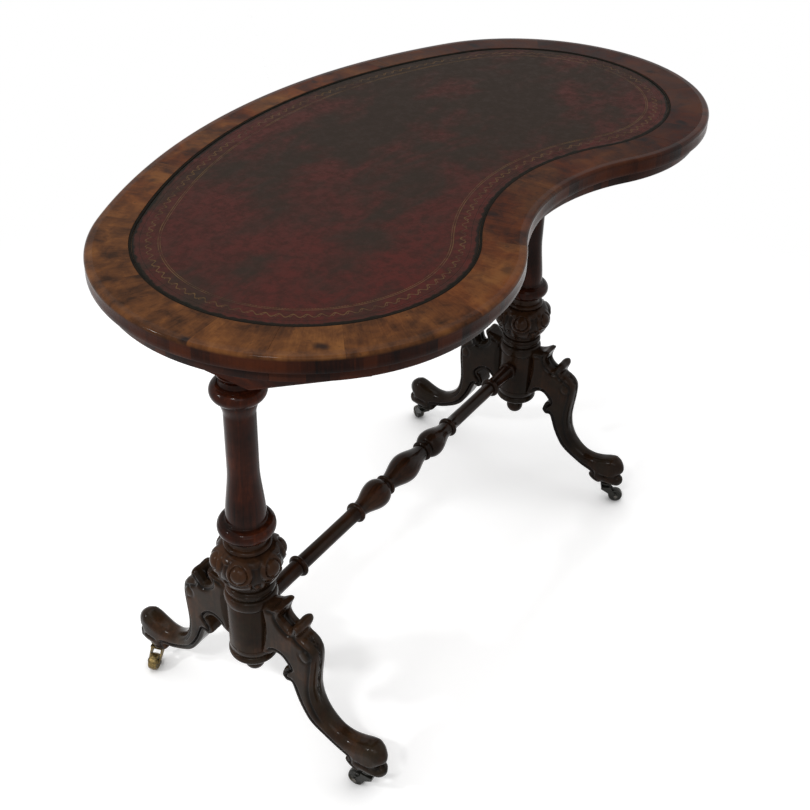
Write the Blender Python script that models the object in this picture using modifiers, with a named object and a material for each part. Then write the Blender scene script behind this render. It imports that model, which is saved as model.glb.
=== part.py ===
"""Kidney shaped writing desk on two turned columns with scrolled legs.

Metres, +Z up. +X runs along the desk, -Y is the kneehole side, the floor is z = 0.
"""

import math

import bmesh
import bpy
from mathutils import Matrix, Vector

# Overall sizes
HEIGHT = 0.702
GAP = 0.0003
HALF_GAP = GAP / 2
COLUMN_INSET = 0.141

# Kidney outline of the top: two round lobes joined by a long back arc and a hollow front arc
LOBE_X = 0.248
LOBE_RADIUS = 0.231
BACK_SWELL = 0.059
KNEEHOLE_DEPTH = 0.067
LOBE_BAND = 0.049
LOBE_BAND_SHIFT_X = 0.0025
LOBE_BAND_SHIFT_Y = 0.0035
BACK_BAND = 0.040
KNEEHOLE_BAND = 0.0545
LOBE_STEPS = 26
BACK_STEPS = 16
HALF_FRONT_STEPS = 4
JOINT_LAP_STEPS = 3

# Top
TOP_THICKNESS = 0.019
VENEER = 0.0015
LEATHER = 0.0009
STRING_WIDTH = 0.003
STRING_DROP = 0.0002
MOULDING_WIDTH = 0.009
MOULDING_ARRIS = 0.004
MOULDING_LOWER_ARRIS = 0.0015
ARRIS_STEPS = 2

# Frieze
FRIEZE_HEIGHT = 0.016
FRIEZE_INSET = 0.011
FRIEZE_THICKNESS = 0.020

# Bearers
BEARER_WIDTH = 0.046
BEARER_FLAT_HALF = 0.036
BEARER_HEIGHT = 0.1157
BEARER_END_GAP = 0.002
BEARER_END_DEPTH = 0.033
BEARER_ARRIS = 0.002
SCREW_REACH_SHARES = (-0.835, -0.404, 0.552, 0.848)
SCREW_SHANK_RADIUS = 0.0022
SCREW_HEAD_RADIUS = 0.0042
SCREW_HEAD_HEIGHT = 0.0030
SCREW_SEAT_DEPTH = 0.0177
SCREW_BITE = 0.011
SCREW_POINT = 0.003

# Columns
SPIGOT_RADIUS = 0.012
SPIGOT_LENGTH = 0.030
SPIGOT_END_GAP = 0.001
NECK_HEIGHT = 0.0245
CAPITAL_RADIUS = 0.0325
CAPITAL_HEIGHT = 0.021
CAPITAL_ROOT = 0.0225
NECK_RADIUS = 0.0235
NECK_WAIST_RADIUS = 0.0205
SHAFT_RADIUS = 0.0188
SHAFT_FOOT_RADIUS = 0.0245
COLLAR_Z = 0.3475
COLLAR_RADIUS = 0.0352
COLLAR_HEIGHT = 0.020
COLLAR_ROOT = 0.027
COLUMN_FOOT_Z = 0.334

# Carved vase under each column
VASE_RING_Z = 0.3215
VASE_RING_RADIUS = 0.0292
VASE_RING_HEIGHT = 0.007
VASE_RING_ROOT = 0.024
VASE_RADIUS = 0.0440
VASE_SHOULDER_Z = 0.3170
VASE_SHOULDER_RADIUS = 0.030
VASE_WAIST_Z = 0.2665
VASE_WAIST_RADIUS = 0.0285
VASE_FOOT_Z = 0.2615
BOSS_COUNT = 6
BOSS_RADIUS = 0.0105
BOSS_RISE = 0.0048
BOSS_Z = 0.302
BOSS_START_ANGLE = math.radians(-96)

# Hub that takes the legs and the stretcher
HUB_RING_Z = 0.2535
HUB_RING_RADIUS = 0.0315
HUB_RING_HEIGHT = 0.013
HUB_BEAD_Z = 0.238
HUB_BEAD_RADIUS = 0.0335
HUB_BEAD_HEIGHT = 0.016
HUB_ROOT = 0.030
HUB_RADIUS = 0.0305
HUB_BOTTOM_Z = 0.15
DISC_RADIUS = 0.0318
DISC_ROOT = 0.0285
DISC_BOTTOM_Z = 0.139
FINIAL_NECK_RADIUS = 0.0095
FINIAL_NECK_HEIGHT = 0.0035
FINIAL_THROAT_RADIUS = 0.0070
FINIAL_BALL_RADIUS = 0.0132
FINIAL_BOTTOM_Z = 0.1045
FINIAL_SPIGOT_RADIUS = 0.006
FINIAL_SPIGOT_LENGTH = 0.028

# Legs, as shares of their reach from the column axis and of the height of their upper horn
LEG_REACH = 0.2065
LEG_TOP_Z = 0.2503
LEG_HALF_THICKNESS = 0.0165
LEG_ARRIS = 0.003
PAD_SHARE = 0.156
LEG_OUTLINE_SHARES = (
    (0.114, 0.964), (0.208, 0.981), (0.252, 1.000), (0.282, 0.997), (0.267, 0.959),
    (0.267, 0.927), (0.290, 0.899), (0.330, 0.881), (0.358, 0.909), (0.382, 0.932),
    (0.402, 0.936), (0.411, 0.915), (0.399, 0.861), (0.446, 0.849), (0.484, 0.831),
    (0.511, 0.801), (0.519, 0.763), (0.516, 0.699), (0.505, 0.615), (0.501, 0.536),
    (0.516, 0.463), (0.552, 0.405), (0.605, 0.361), (0.668, 0.331), (0.736, 0.324),
    (0.804, 0.334), (0.862, 0.352), (0.910, 0.362), (0.949, 0.352), (0.978, 0.330),
    (0.995, 0.300), (0.993, 0.272), (0.973, 0.244), (0.966, 0.232), (0.988, 0.222),
    (1.000, 0.206), (0.993, 0.184), (0.969, 0.164), (0.935, PAD_SHARE), (0.828, PAD_SHARE),
    (0.794, 0.170), (0.760, 0.188), (0.738, 0.204), (0.760, 0.222), (0.664, 0.250),
    (0.600, 0.280), (0.538, 0.314), (0.484, 0.354), (0.441, 0.404), (0.404, 0.455),
    (0.373, 0.507), (0.349, 0.541), (0.310, 0.537), (0.278, 0.562), (0.295, 0.613),
    (0.327, 0.641), (0.290, 0.679), (0.252, 0.691), (0.213, 0.679), (0.174, 0.647),
    (0.114, 0.631),
)
# The same leg seen from above, as shares of its reach and of its half thickness
LEG_PLAN_SHARES = (
    (0.050, 1.000), (0.480, 1.000), (0.560, 0.780), (0.640, 0.700), (0.740, 0.740),
    (0.820, 0.860), (0.890, 0.850), (0.950, 0.660), (0.985, 0.380), (1.000, 0.120),
)

# Sliding dovetails that hold the legs in the hub
DOVETAIL_REACH = 0.0190
DOVETAIL_TIP_HALF = 0.0080
DOVETAIL_ROOT_HALF = 0.0055
DOVETAIL_ROOT_DEPTH = 0.003
DOVETAIL_TOP_Z = 0.218
DOVETAIL_BOTTOM_Z = 0.162

# Stretcher
STRETCHER_Z = 0.205
ROD_RADIUS = 0.0102
ROD_NECK_RADIUS = 0.0094
MID_VASE_RADIUS = 0.0212
MID_VASE_END_RADIUS = 0.0120
MID_RING_X = 0.047
MID_RING_RADIUS = 0.0156
BULB_X = 0.070
BULB_RADIUS = 0.0206
BULB_INNER_X = 0.0555
BULB_INNER_RADIUS = 0.0126
BULB_TAIL_X = 0.110
BULB_TAIL_RADIUS = 0.0114
OUTER_RING_X = 0.118
OUTER_RING_RADIUS = 0.0152
END_RING_INSET = 0.0934
END_RING_RADIUS = 0.0152
HUB_COLLAR_INSET = 0.0370
HUB_COLLAR_RADIUS = 0.0135
RING_WIDTH = 0.006
STRETCHER_SPIGOT_RADIUS = 0.0085
STRETCHER_SPIGOT_END_INSET = 0.014

# Castors
CASTOR_INSET = 0.0265
WHEEL_RADIUS = 0.0115
WHEEL_HALF_WIDTH = 0.0060
WHEEL_ARRIS = 0.0015
CASTOR_TRAIL = 0.017
AXLE_RADIUS = 0.0018
AXLE_HEAD_RADIUS = 0.0032
AXLE_HEAD_HEIGHT = 0.0010
CHEEK_THICKNESS = 0.0018
CHEEK_CLEARANCE = 0.0006
CROWN_THICKNESS = 0.0040
CROWN_Z = 0.0260
CROWN_HALF_LENGTH = 0.0080
PLATE_RADIUS = 0.0105
PLATE_THICKNESS = 0.0022
PLATE_BOSS_RADIUS = 0.0060
SPINDLE_RADIUS = 0.0030
SPINDLE_POINT = 0.004
SPINDLE_LENGTH = 0.020
PIVOT_RADIUS = 0.0030
PIVOT_HEAD_RADIUS = 0.0048
PIVOT_HEAD_HEIGHT = 0.0015

# Direction in which each castor trails
CASTOR_TURNS = {
    "left_front": math.radians(95),
    "left_back": math.radians(-160),
    "right_front": math.radians(-60),
    "right_back": math.radians(60),
}

# Steps in turning and along curved profiles
COLUMN_STEPS = 16
BEAD_STEPS = 4
STRETCHER_STEPS = 12
SMALL_STEPS = 12
BORE_STEPS = 8
BOSS_SEGMENTS = 8
BOSS_RINGS = 4
NECK_STEPS = 3
SWELL_STEPS = 5
BELLY_STEPS = 9
BALL_STEPS = 7

# Places and heights that follow from the sizes above
LOBE_Y = -BACK_SWELL / 2
HALF_DEPTH = LOBE_RADIUS + BACK_SWELL / 2
KNEEHOLE_Y = KNEEHOLE_DEPTH - HALF_DEPTH
COLUMN_X = LOBE_X + LOBE_RADIUS - COLUMN_INSET
END_RING_X = COLUMN_X - END_RING_INSET
HUB_COLLAR_X = COLUMN_X - HUB_COLLAR_INSET
STRETCHER_SPIGOT_END_X = COLUMN_X - STRETCHER_SPIGOT_END_INSET
FRIEZE_INNER_RADIUS = LOBE_RADIUS - FRIEZE_INSET - FRIEZE_THICKNESS
BEARER_REACH = math.sqrt(
    FRIEZE_INNER_RADIUS ** 2 - (COLUMN_X + BEARER_WIDTH / 2 - LOBE_X) ** 2
) - BEARER_END_GAP
BEARER_FRONT_Y = LOBE_Y - BEARER_REACH
BEARER_BACK_Y = LOBE_Y + BEARER_REACH
STRETCHER_SHOULDER_X = COLUMN_X - HUB_RADIUS - GAP
CASTOR_REACH = LEG_REACH - CASTOR_INSET
BOARD_UNDERSIDE_Z = HEIGHT - TOP_THICKNESS
BOARD_TOP_Z = HEIGHT - VENEER - GAP
FRIEZE_TOP_Z = BOARD_UNDERSIDE_Z - GAP
FRIEZE_BOTTOM_Z = FRIEZE_TOP_Z - FRIEZE_HEIGHT
BEARER_UNDERSIDE_Z = FRIEZE_TOP_Z - BEARER_HEIGHT
SCREW_SEAT_Z = FRIEZE_TOP_Z - SCREW_SEAT_DEPTH
CAPITAL_Z = BEARER_UNDERSIDE_Z - NECK_HEIGHT
VASE_TOP_Z = COLUMN_FOOT_Z - GAP
HUB_TOP_Z = VASE_FOOT_Z - GAP
DISC_TOP_Z = HUB_BOTTOM_Z - GAP
FINIAL_TOP_Z = DISC_BOTTOM_Z - GAP
PAD_Z = LEG_TOP_Z * PAD_SHARE
PLATE_TOP_Z = PAD_Z - GAP
PLATE_BOTTOM_Z = PLATE_TOP_Z - PLATE_THICKNESS
CROWN_TOP_Z = CROWN_Z + CROWN_THICKNESS
CHEEK_INNER = WHEEL_HALF_WIDTH + CHEEK_CLEARANCE
CHEEK_OUTER = CHEEK_INNER + CHEEK_THICKNESS

SIDES = (("left", -1), ("right", 1))
ENDS = (("front", -1), ("back", 1))

ARRIS_ANGLE = math.radians(1)

# Stands a drawn side view up in the Y-Z plane
ACROSS = Matrix(((0, 0, 1, 0), (1, 0, 0, 0), (0, 1, 0, 0), (0, 0, 0, 1)))


class Kidney:
    """A kidney outline drawn with four tangent arcs."""

    def __init__(self, lobe_x, lobe_y, radius, back_y, front_y):
        self.lobe = Vector((lobe_x, lobe_y))
        self.radius = radius
        self.back_centre = self.tangent_centre(back_y - radius)
        self.back_radius = back_y - self.back_centre
        self.front_centre = self.tangent_centre(front_y + radius)
        self.front_radius = front_y - self.front_centre
        self.back_angle = math.atan2(lobe_y - self.back_centre, lobe_x)
        self.front_angle = math.atan2(lobe_y - self.front_centre, lobe_x)

    def tangent_centre(self, reach):
        """Height on the centre line from which an arc touches both lobes."""
        square = reach ** 2 - self.lobe.length_squared
        return square / (2 * (reach - self.lobe.y))

    def outline(self, inset=0.0):
        """Points of the outline moved inwards, from the middle of the kneehole and to the right."""
        half = []
        front = self.front_radius + inset
        for step in range(HALF_FRONT_STEPS):
            turn = math.pi / 2 + (self.front_angle - math.pi / 2) * step / HALF_FRONT_STEPS
            half.append(Vector((front * math.cos(turn), self.front_centre + front * math.sin(turn))))
        first = self.front_angle - math.pi
        lobe = self.radius - inset
        for step in range(LOBE_STEPS):
            turn = first + (self.back_angle - first) * step / LOBE_STEPS
            half.append(self.lobe + lobe * Vector((math.cos(turn), math.sin(turn))))
        back = self.back_radius - inset
        half_back = BACK_STEPS // 2
        for step in range(half_back + 1):
            turn = self.back_angle + (math.pi / 2 - self.back_angle) * step / half_back
            half.append(Vector((back * math.cos(turn), self.back_centre + back * math.sin(turn))))
        mirrored = [Vector((-point.x, point.y)) for point in reversed(half[1:-1])]
        return half + mirrored


TOP = Kidney(LOBE_X, LOBE_Y, LOBE_RADIUS, HALF_DEPTH, KNEEHOLE_Y)
RECESS = Kidney(
    LOBE_X - LOBE_BAND_SHIFT_X, LOBE_Y + LOBE_BAND_SHIFT_Y, LOBE_RADIUS - LOBE_BAND,
    HALF_DEPTH - BACK_BAND, KNEEHOLE_Y + KNEEHOLE_BAND,
)


def clear_scene():
    for item in list(bpy.data.objects):
        bpy.data.objects.remove(item, do_unlink=True)


def new_collection(name):
    made = bpy.data.collections.new(name)
    bpy.context.scene.collection.children.link(made)
    return made


clear_scene()
DESK = new_collection("kidney_desk")
CUTTERS = new_collection("cutters")

WALNUT = ((0.070, 0.026, 0.014), 0.30, 0.0)
BURR = ((0.190, 0.085, 0.030), 0.28, 0.0)
FRIEZE_VENEER = ((0.085, 0.026, 0.014), 0.32, 0.0)
PINE = ((0.420, 0.270, 0.130), 0.75, 0.0)
EBONY = ((0.018, 0.020, 0.016), 0.40, 0.0)
HIDE = ((0.075, 0.016, 0.015), 0.45, 0.0)
IRON = ((0.140, 0.130, 0.120), 0.50, 0.9)
BRASS = ((0.380, 0.260, 0.090), 0.38, 1.0)


def finish_for(name, finish):
    colour, roughness, metallic = finish
    material = bpy.data.materials.new(name + "_finish")
    material.use_nodes = True
    shader = material.node_tree.nodes["Principled BSDF"]
    shader.inputs["Base Color"].default_value = (*colour, 1.0)
    shader.inputs["Roughness"].default_value = roughness
    shader.inputs["Metallic"].default_value = metallic
    material.diffuse_color = (*colour, 1.0)
    return material


def place(name, mesh, finish, location=(0, 0, 0), rotation=(0, 0, 0), parent=None):
    piece = bpy.data.objects.new(name, mesh)
    mesh.materials.clear()
    mesh.materials.append(finish_for(name, finish))
    DESK.objects.link(piece)
    piece.parent = parent
    piece.location = location
    piece.rotation_euler = rotation
    return piece


def cutter(name, mesh, location=(0, 0, 0), rotation=(0, 0, 0), parent=None):
    tool = bpy.data.objects.new(name, mesh)
    CUTTERS.objects.link(tool)
    tool.parent = parent
    tool.location = location
    tool.rotation_euler = rotation
    tool.hide_render = True
    tool.display_type = "WIRE"
    return tool


def cut(piece, tool, operation="DIFFERENCE"):
    change = piece.modifiers.new(tool.name, "BOOLEAN")
    change.operation = operation
    change.object = tool
    change.solver = "EXACT"


def finished_mesh(name, bm):
    bmesh.ops.recalc_face_normals(bm, faces=bm.faces)
    mesh = bpy.data.meshes.new(name)
    bm.to_mesh(mesh)
    bm.free()
    return mesh


def cylinder_mesh(name, radius, low, high, steps=BORE_STEPS):
    bm = bmesh.new()
    bmesh.ops.create_cone(
        bm, cap_ends=True, segments=steps, radius1=radius, radius2=radius, depth=high - low,
        matrix=Matrix.Translation((0, 0, (low + high) / 2)),
    )
    return finished_mesh(name, bm)


def prism_mesh(name, loops, low, high):
    """Solid between two heights over closed outlines; inner outlines are openings."""
    drawing = bpy.data.curves.new(name, "CURVE")
    drawing.dimensions = "2D"
    drawing.fill_mode = "BOTH"
    drawing.extrude = (high - low) / 2
    for points in loops:
        spline = drawing.splines.new("POLY")
        spline.points.add(len(points) - 1)
        for spot, point in zip(spline.points, points):
            spot.co = (point[0], point[1], 0, 1)
        spline.use_cyclic_u = True
    holder = bpy.data.objects.new(name, drawing)
    bpy.context.scene.collection.objects.link(holder)
    view = bpy.context.evaluated_depsgraph_get()
    raw = bpy.data.meshes.new_from_object(holder.evaluated_get(view))
    bm = bmesh.new()
    bm.from_mesh(raw)
    bpy.data.objects.remove(holder, do_unlink=True)
    bpy.data.curves.remove(drawing)
    bpy.data.meshes.remove(raw)
    bmesh.ops.remove_doubles(bm, verts=bm.verts, dist=GAP / 10)
    bmesh.ops.translate(bm, verts=bm.verts, vec=(0, 0, (low + high) / 2))
    return finished_mesh(name, bm)


def turned_mesh(name, profile, closed=False):
    """Edge chain of (radius, height) pairs at +X, given from top to bottom."""
    mesh = bpy.data.meshes.new(name)
    last = len(profile)
    edges = [(index, index + 1) for index in range(last - 1)]
    if closed:
        edges.append((last - 1, 0))
    mesh.from_pydata([(radius, 0, height) for radius, height in profile], edges, [])
    return mesh


def spin(piece, steps):
    turn = piece.modifiers.new("turning", "SCREW")
    turn.axis = "Z"
    turn.steps = steps
    turn.render_steps = steps
    turn.use_merge_vertices = True
    turn.merge_threshold = GAP / 10
    turn.use_smooth_shade = True
    return piece


def bead(radius, root, middle, height, steps=BEAD_STEPS):
    """Half round moulding from top to bottom, rising from a root radius."""
    points = []
    for step in range(steps + 1):
        turn = math.pi * step / steps
        points.append((
            root + (radius - root) * math.sin(turn),
            middle + height / 2 * math.cos(turn),
        ))
    return points


def easing(start, end, steps):
    """Points that leave one (radius, height) and arrive at the next with an S curve."""
    points = []
    for step in range(1, steps):
        share = step / steps
        ease = share * share * (3 - 2 * share)
        points.append((
            start[0] + (end[0] - start[0]) * ease,
            start[1] + (end[1] - start[1]) * share,
        ))
    return points


def capped(points):
    """Closes an open profile on the axis at both ends."""
    return [(0, points[0][1]), *points, (0, points[-1][1])]


def section(outer, inner, first, last):
    """Closed outline of a stretch of a band, with a hair gap at both joints."""
    count = len(outer)

    def stretch(points):
        chain = [points[index % count].copy() for index in range(first, last + 1)]
        for end, beside in ((0, 1), (-1, -2)):
            chain[end] += (chain[beside] - chain[end]).normalized() * HALF_GAP
        return chain

    return stretch(outer) + list(reversed(stretch(inner)))


def loft_mesh(name, rings):
    """Closed ring of outlines with the same number of points, each joined to the next."""
    bm = bmesh.new()
    loops = [
        [bm.verts.new((point.x, point.y, height)) for point in outline]
        for height, outline in rings
    ]
    for here, there in zip(loops, loops[1:] + loops[:1]):
        for index in range(len(here)):
            bm.faces.new([here[index - 1], here[index], there[index], there[index - 1]])
    return finished_mesh(name, bm)


def moulding_rings():
    """Section of the edge moulding: inner face, rounded upper arris, small lower chamfer."""
    rings = [(BOARD_UNDERSIDE_Z, TOP.outline(MOULDING_WIDTH)), (HEIGHT, TOP.outline(MOULDING_WIDTH))]
    for step in range(ARRIS_STEPS + 1):
        turn = math.pi / 2 * step / ARRIS_STEPS
        inset = MOULDING_ARRIS * (1 - math.sin(turn))
        rings.append((HEIGHT - MOULDING_ARRIS * (1 - math.cos(turn)), TOP.outline(inset)))
    rings.append((BOARD_UNDERSIDE_Z + MOULDING_LOWER_ARRIS, TOP.outline()))
    rings.append((BOARD_UNDERSIDE_Z, TOP.outline(MOULDING_LOWER_ARRIS)))
    return rings


def build_top():
    board_edge = TOP.outline(MOULDING_WIDTH + GAP)
    board = prism_mesh("top_board", [board_edge], BOARD_UNDERSIDE_Z, BOARD_TOP_Z)
    board_piece = place("top_board", board, PINE)
    place("edge_moulding", loft_mesh("edge_moulding", moulding_rings()), BURR)

    band_outer = TOP.outline(MOULDING_WIDTH + GAP)
    band_inner = RECESS.outline(-STRING_WIDTH - GAP)
    for name, first, last in band_stretches():
        outline = section(band_outer, band_inner, first, last)
        band = prism_mesh(name, [outline], HEIGHT - VENEER, HEIGHT)
        place("crossband_" + name, band, BURR)

    string = prism_mesh(
        "string_inlay", [RECESS.outline(-STRING_WIDTH), RECESS.outline()],
        HEIGHT - VENEER, HEIGHT - STRING_DROP,
    )
    place("string_inlay", string, EBONY)
    hide = prism_mesh(
        "leather_inset", [RECESS.outline(GAP)], HEIGHT - VENEER, HEIGHT - VENEER + LEATHER
    )
    place("leather_inset", hide, HIDE)
    return board_piece


def band_stretches():
    """Names and first and last outline points of the pieces of a band round the kidney."""
    front = HALF_FRONT_STEPS + JOINT_LAP_STEPS
    shoulder = HALF_FRONT_STEPS + LOBE_STEPS // 2
    back = HALF_FRONT_STEPS + LOBE_STEPS + JOINT_LAP_STEPS
    count = len(TOP.outline())
    return (
        ("kneehole", -front, front),
        ("front_right", front, shoulder),
        ("end_right", shoulder, back),
        ("back", back, count - back),
        ("end_left", count - back, count - shoulder),
        ("front_left", count - shoulder, count - front),
    )


def build_frieze():
    outer = TOP.outline(FRIEZE_INSET)
    inner = TOP.outline(FRIEZE_INSET + FRIEZE_THICKNESS)
    for name, first, last in band_stretches():
        outline = section(outer, inner, first, last)
        rail = prism_mesh(name, [outline], FRIEZE_BOTTOM_Z, FRIEZE_TOP_Z)
        place("frieze_" + name, rail, FRIEZE_VENEER)


def screw_profile():
    high = BOARD_UNDERSIDE_Z + SCREW_BITE
    return [
        (0, high),
        (SCREW_SHANK_RADIUS, high - SCREW_POINT),
        (SCREW_SHANK_RADIUS, SCREW_SEAT_Z),
        (SCREW_HEAD_RADIUS, SCREW_SEAT_Z),
        (SCREW_HEAD_RADIUS, SCREW_SEAT_Z - SCREW_HEAD_HEIGHT),
        (0, SCREW_SEAT_Z - SCREW_HEAD_HEIGHT),
    ]


def screw_bore_profile():
    high = BOARD_UNDERSIDE_Z + SCREW_BITE + GAP
    shank = SCREW_SHANK_RADIUS + GAP
    head = SCREW_HEAD_RADIUS + GAP
    seat = SCREW_SEAT_Z + GAP
    return [
        (0, high), (shank, high), (shank, seat), (head, seat), (head, BEARER_UNDERSIDE_Z),
        (0, BEARER_UNDERSIDE_Z),
    ]


def build_bearer(side, sign, board):
    end_z = FRIEZE_TOP_Z - BEARER_END_DEPTH
    outline = [
        (BEARER_FRONT_Y, FRIEZE_TOP_Z),
        (BEARER_FRONT_Y, end_z),
        (-BEARER_FLAT_HALF, BEARER_UNDERSIDE_Z),
        (BEARER_FLAT_HALF, BEARER_UNDERSIDE_Z),
        (BEARER_BACK_Y, end_z),
        (BEARER_BACK_Y, FRIEZE_TOP_Z),
    ]
    name = "bearer_" + side
    mesh = prism_mesh(name, [outline], -BEARER_WIDTH / 2, BEARER_WIDTH / 2)
    mesh.transform(ACROSS)
    bearer = place(name, mesh, WALNUT, location=(sign * COLUMN_X, 0, 0))
    soften = bearer.modifiers.new("arris", "BEVEL")
    soften.width = BEARER_ARRIS
    soften.segments = 1
    cut(bearer, cutter("socket_" + side, cylinder_mesh(
        "socket", SPIGOT_RADIUS + GAP, BEARER_UNDERSIDE_Z - SPIGOT_LENGTH,
        BEARER_UNDERSIDE_Z + SPIGOT_LENGTH + SPIGOT_END_GAP, COLUMN_STEPS,
    ), location=(sign * COLUMN_X, 0, 0)))

    for index, share in enumerate(SCREW_REACH_SHARES):
        label = "%s_%d" % (side, index + 1)
        spot = (sign * COLUMN_X, LOBE_Y + BEARER_REACH * share, 0)
        spin(place("bearer_screw_" + label, turned_mesh("screw", screw_profile()), IRON, spot),
             BORE_STEPS)
        hole = spin(cutter("screw_bore_" + label,
                           turned_mesh("screw_bore", screw_bore_profile()), spot), BORE_STEPS)
        cut(bearer, hole)
        cut(board, hole)


def column_profile():
    top = BEARER_UNDERSIDE_Z - GAP
    capital_top = CAPITAL_Z + CAPITAL_HEIGHT / 2
    capital_bottom = CAPITAL_Z - CAPITAL_HEIGHT / 2
    shaft_top = (SHAFT_RADIUS, capital_bottom - CAPITAL_HEIGHT)
    collar_top = COLLAR_Z + COLLAR_HEIGHT / 2
    shaft_waist = (SHAFT_RADIUS, (shaft_top[1] + collar_top) / 2)
    foot = (SHAFT_FOOT_RADIUS, collar_top)
    collar_bottom = COLLAR_Z - COLLAR_HEIGHT / 2
    return [
        (0, top + SPIGOT_LENGTH),
        (SPIGOT_RADIUS, top + SPIGOT_LENGTH),
        (SPIGOT_RADIUS, top),
        (NECK_RADIUS, top),
        (NECK_WAIST_RADIUS, (top + capital_top) / 2),
        *bead(CAPITAL_RADIUS, CAPITAL_ROOT, CAPITAL_Z, CAPITAL_HEIGHT),
        *easing((CAPITAL_ROOT, capital_bottom), shaft_top, NECK_STEPS),
        shaft_top,
        shaft_waist,
        *easing(shaft_waist, foot, SWELL_STEPS),
        foot,
        *bead(COLLAR_RADIUS, COLLAR_ROOT, COLLAR_Z, COLLAR_HEIGHT),
        (SHAFT_FOOT_RADIUS, collar_bottom),
        (SHAFT_FOOT_RADIUS, COLUMN_FOOT_Z),
        (SPIGOT_RADIUS, COLUMN_FOOT_Z),
        (SPIGOT_RADIUS, COLUMN_FOOT_Z - SPIGOT_LENGTH),
        (0, COLUMN_FOOT_Z - SPIGOT_LENGTH),
    ]


def vase_profile():
    ring_bottom = VASE_RING_Z - VASE_RING_HEIGHT / 2
    body = []
    for step in range(1, BELLY_STEPS):
        share = step / BELLY_STEPS
        swell = math.sqrt(math.sin(math.pi * share))
        radius = VASE_WAIST_RADIUS + (VASE_RADIUS - VASE_WAIST_RADIUS) * swell
        height = VASE_SHOULDER_Z + (VASE_WAIST_Z - VASE_SHOULDER_Z) * share
        body.append((radius, height))
    return [
        (0, VASE_TOP_Z),
        (VASE_RING_ROOT, VASE_TOP_Z),
        *bead(VASE_RING_RADIUS, VASE_RING_ROOT, VASE_RING_Z, VASE_RING_HEIGHT),
        (VASE_SHOULDER_RADIUS, ring_bottom - 2 * GAP),
        *body,
        (VASE_WAIST_RADIUS, VASE_WAIST_Z),
        (VASE_WAIST_RADIUS, VASE_FOOT_Z),
        (SPIGOT_RADIUS, VASE_FOOT_Z),
        (SPIGOT_RADIUS, VASE_FOOT_Z - SPIGOT_LENGTH),
        (0, VASE_FOOT_Z - SPIGOT_LENGTH),
    ]


def hub_profile():
    return capped([
        (HUB_ROOT, HUB_TOP_Z),
        *bead(HUB_RING_RADIUS, HUB_ROOT, HUB_RING_Z, HUB_RING_HEIGHT),
        *bead(HUB_BEAD_RADIUS, HUB_ROOT, HUB_BEAD_Z, HUB_BEAD_HEIGHT),
        (HUB_RADIUS, HUB_BEAD_Z - HUB_BEAD_HEIGHT / 2 - 2 * GAP),
        (HUB_RADIUS, HUB_BOTTOM_Z),
    ])


def disc_profile():
    middle = (DISC_TOP_Z + DISC_BOTTOM_Z) / 2
    bore = FINIAL_SPIGOT_RADIUS + GAP
    rim = bead(DISC_RADIUS, DISC_ROOT, middle, DISC_TOP_Z - DISC_BOTTOM_Z)
    return [(bore, DISC_TOP_Z), *rim, (bore, DISC_BOTTOM_Z)]


def finial_profile():
    centre = FINIAL_BOTTOM_Z + FINIAL_BALL_RADIUS
    start = math.asin(FINIAL_THROAT_RADIUS / FINIAL_BALL_RADIUS)
    ball = []
    for step in range(BALL_STEPS):
        turn = start + (math.pi - start) * step / BALL_STEPS
        ball.append((FINIAL_BALL_RADIUS * math.sin(turn), centre + FINIAL_BALL_RADIUS * math.cos(turn)))
    return [
        (0, FINIAL_TOP_Z + FINIAL_SPIGOT_LENGTH),
        (FINIAL_SPIGOT_RADIUS, FINIAL_TOP_Z + FINIAL_SPIGOT_LENGTH),
        (FINIAL_SPIGOT_RADIUS, FINIAL_TOP_Z),
        (FINIAL_NECK_RADIUS, FINIAL_TOP_Z),
        (FINIAL_NECK_RADIUS, FINIAL_TOP_Z - FINIAL_NECK_HEIGHT),
        *ball,
        (0, FINIAL_BOTTOM_Z),
    ]


def boss_mesh():
    """Flattened round bosses carved round the belly of the vase."""
    bm = bmesh.new()
    for index in range(BOSS_COUNT):
        turn = Matrix.Rotation(BOSS_START_ANGLE + 2 * math.pi * index / BOSS_COUNT, 4, "Z")
        out = Matrix.Translation((VASE_RADIUS, 0, BOSS_Z))
        tip = Matrix.Rotation(math.pi / 2, 4, "Y")
        flat = Matrix.Diagonal((BOSS_RADIUS, BOSS_RADIUS, BOSS_RISE, 1))
        bmesh.ops.create_uvsphere(
            bm, u_segments=BOSS_SEGMENTS, v_segments=BOSS_RINGS, radius=1.0,
            matrix=turn @ out @ tip @ flat,
        )
    return finished_mesh("bosses", bm)


def bore(name, radius, start, end, parent_x, steps=BORE_STEPS):
    """Round bore between two points of one column's own frame."""
    start, end = Vector(start), Vector(end)
    along = end - start
    mesh = cylinder_mesh(name, radius, 0, along.length, steps)
    mesh.transform(along.to_track_quat("Z", "Y").to_matrix().to_4x4())
    mesh.transform(Matrix.Translation(start))
    return cutter(name, mesh, location=(parent_x, 0, 0))


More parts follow.
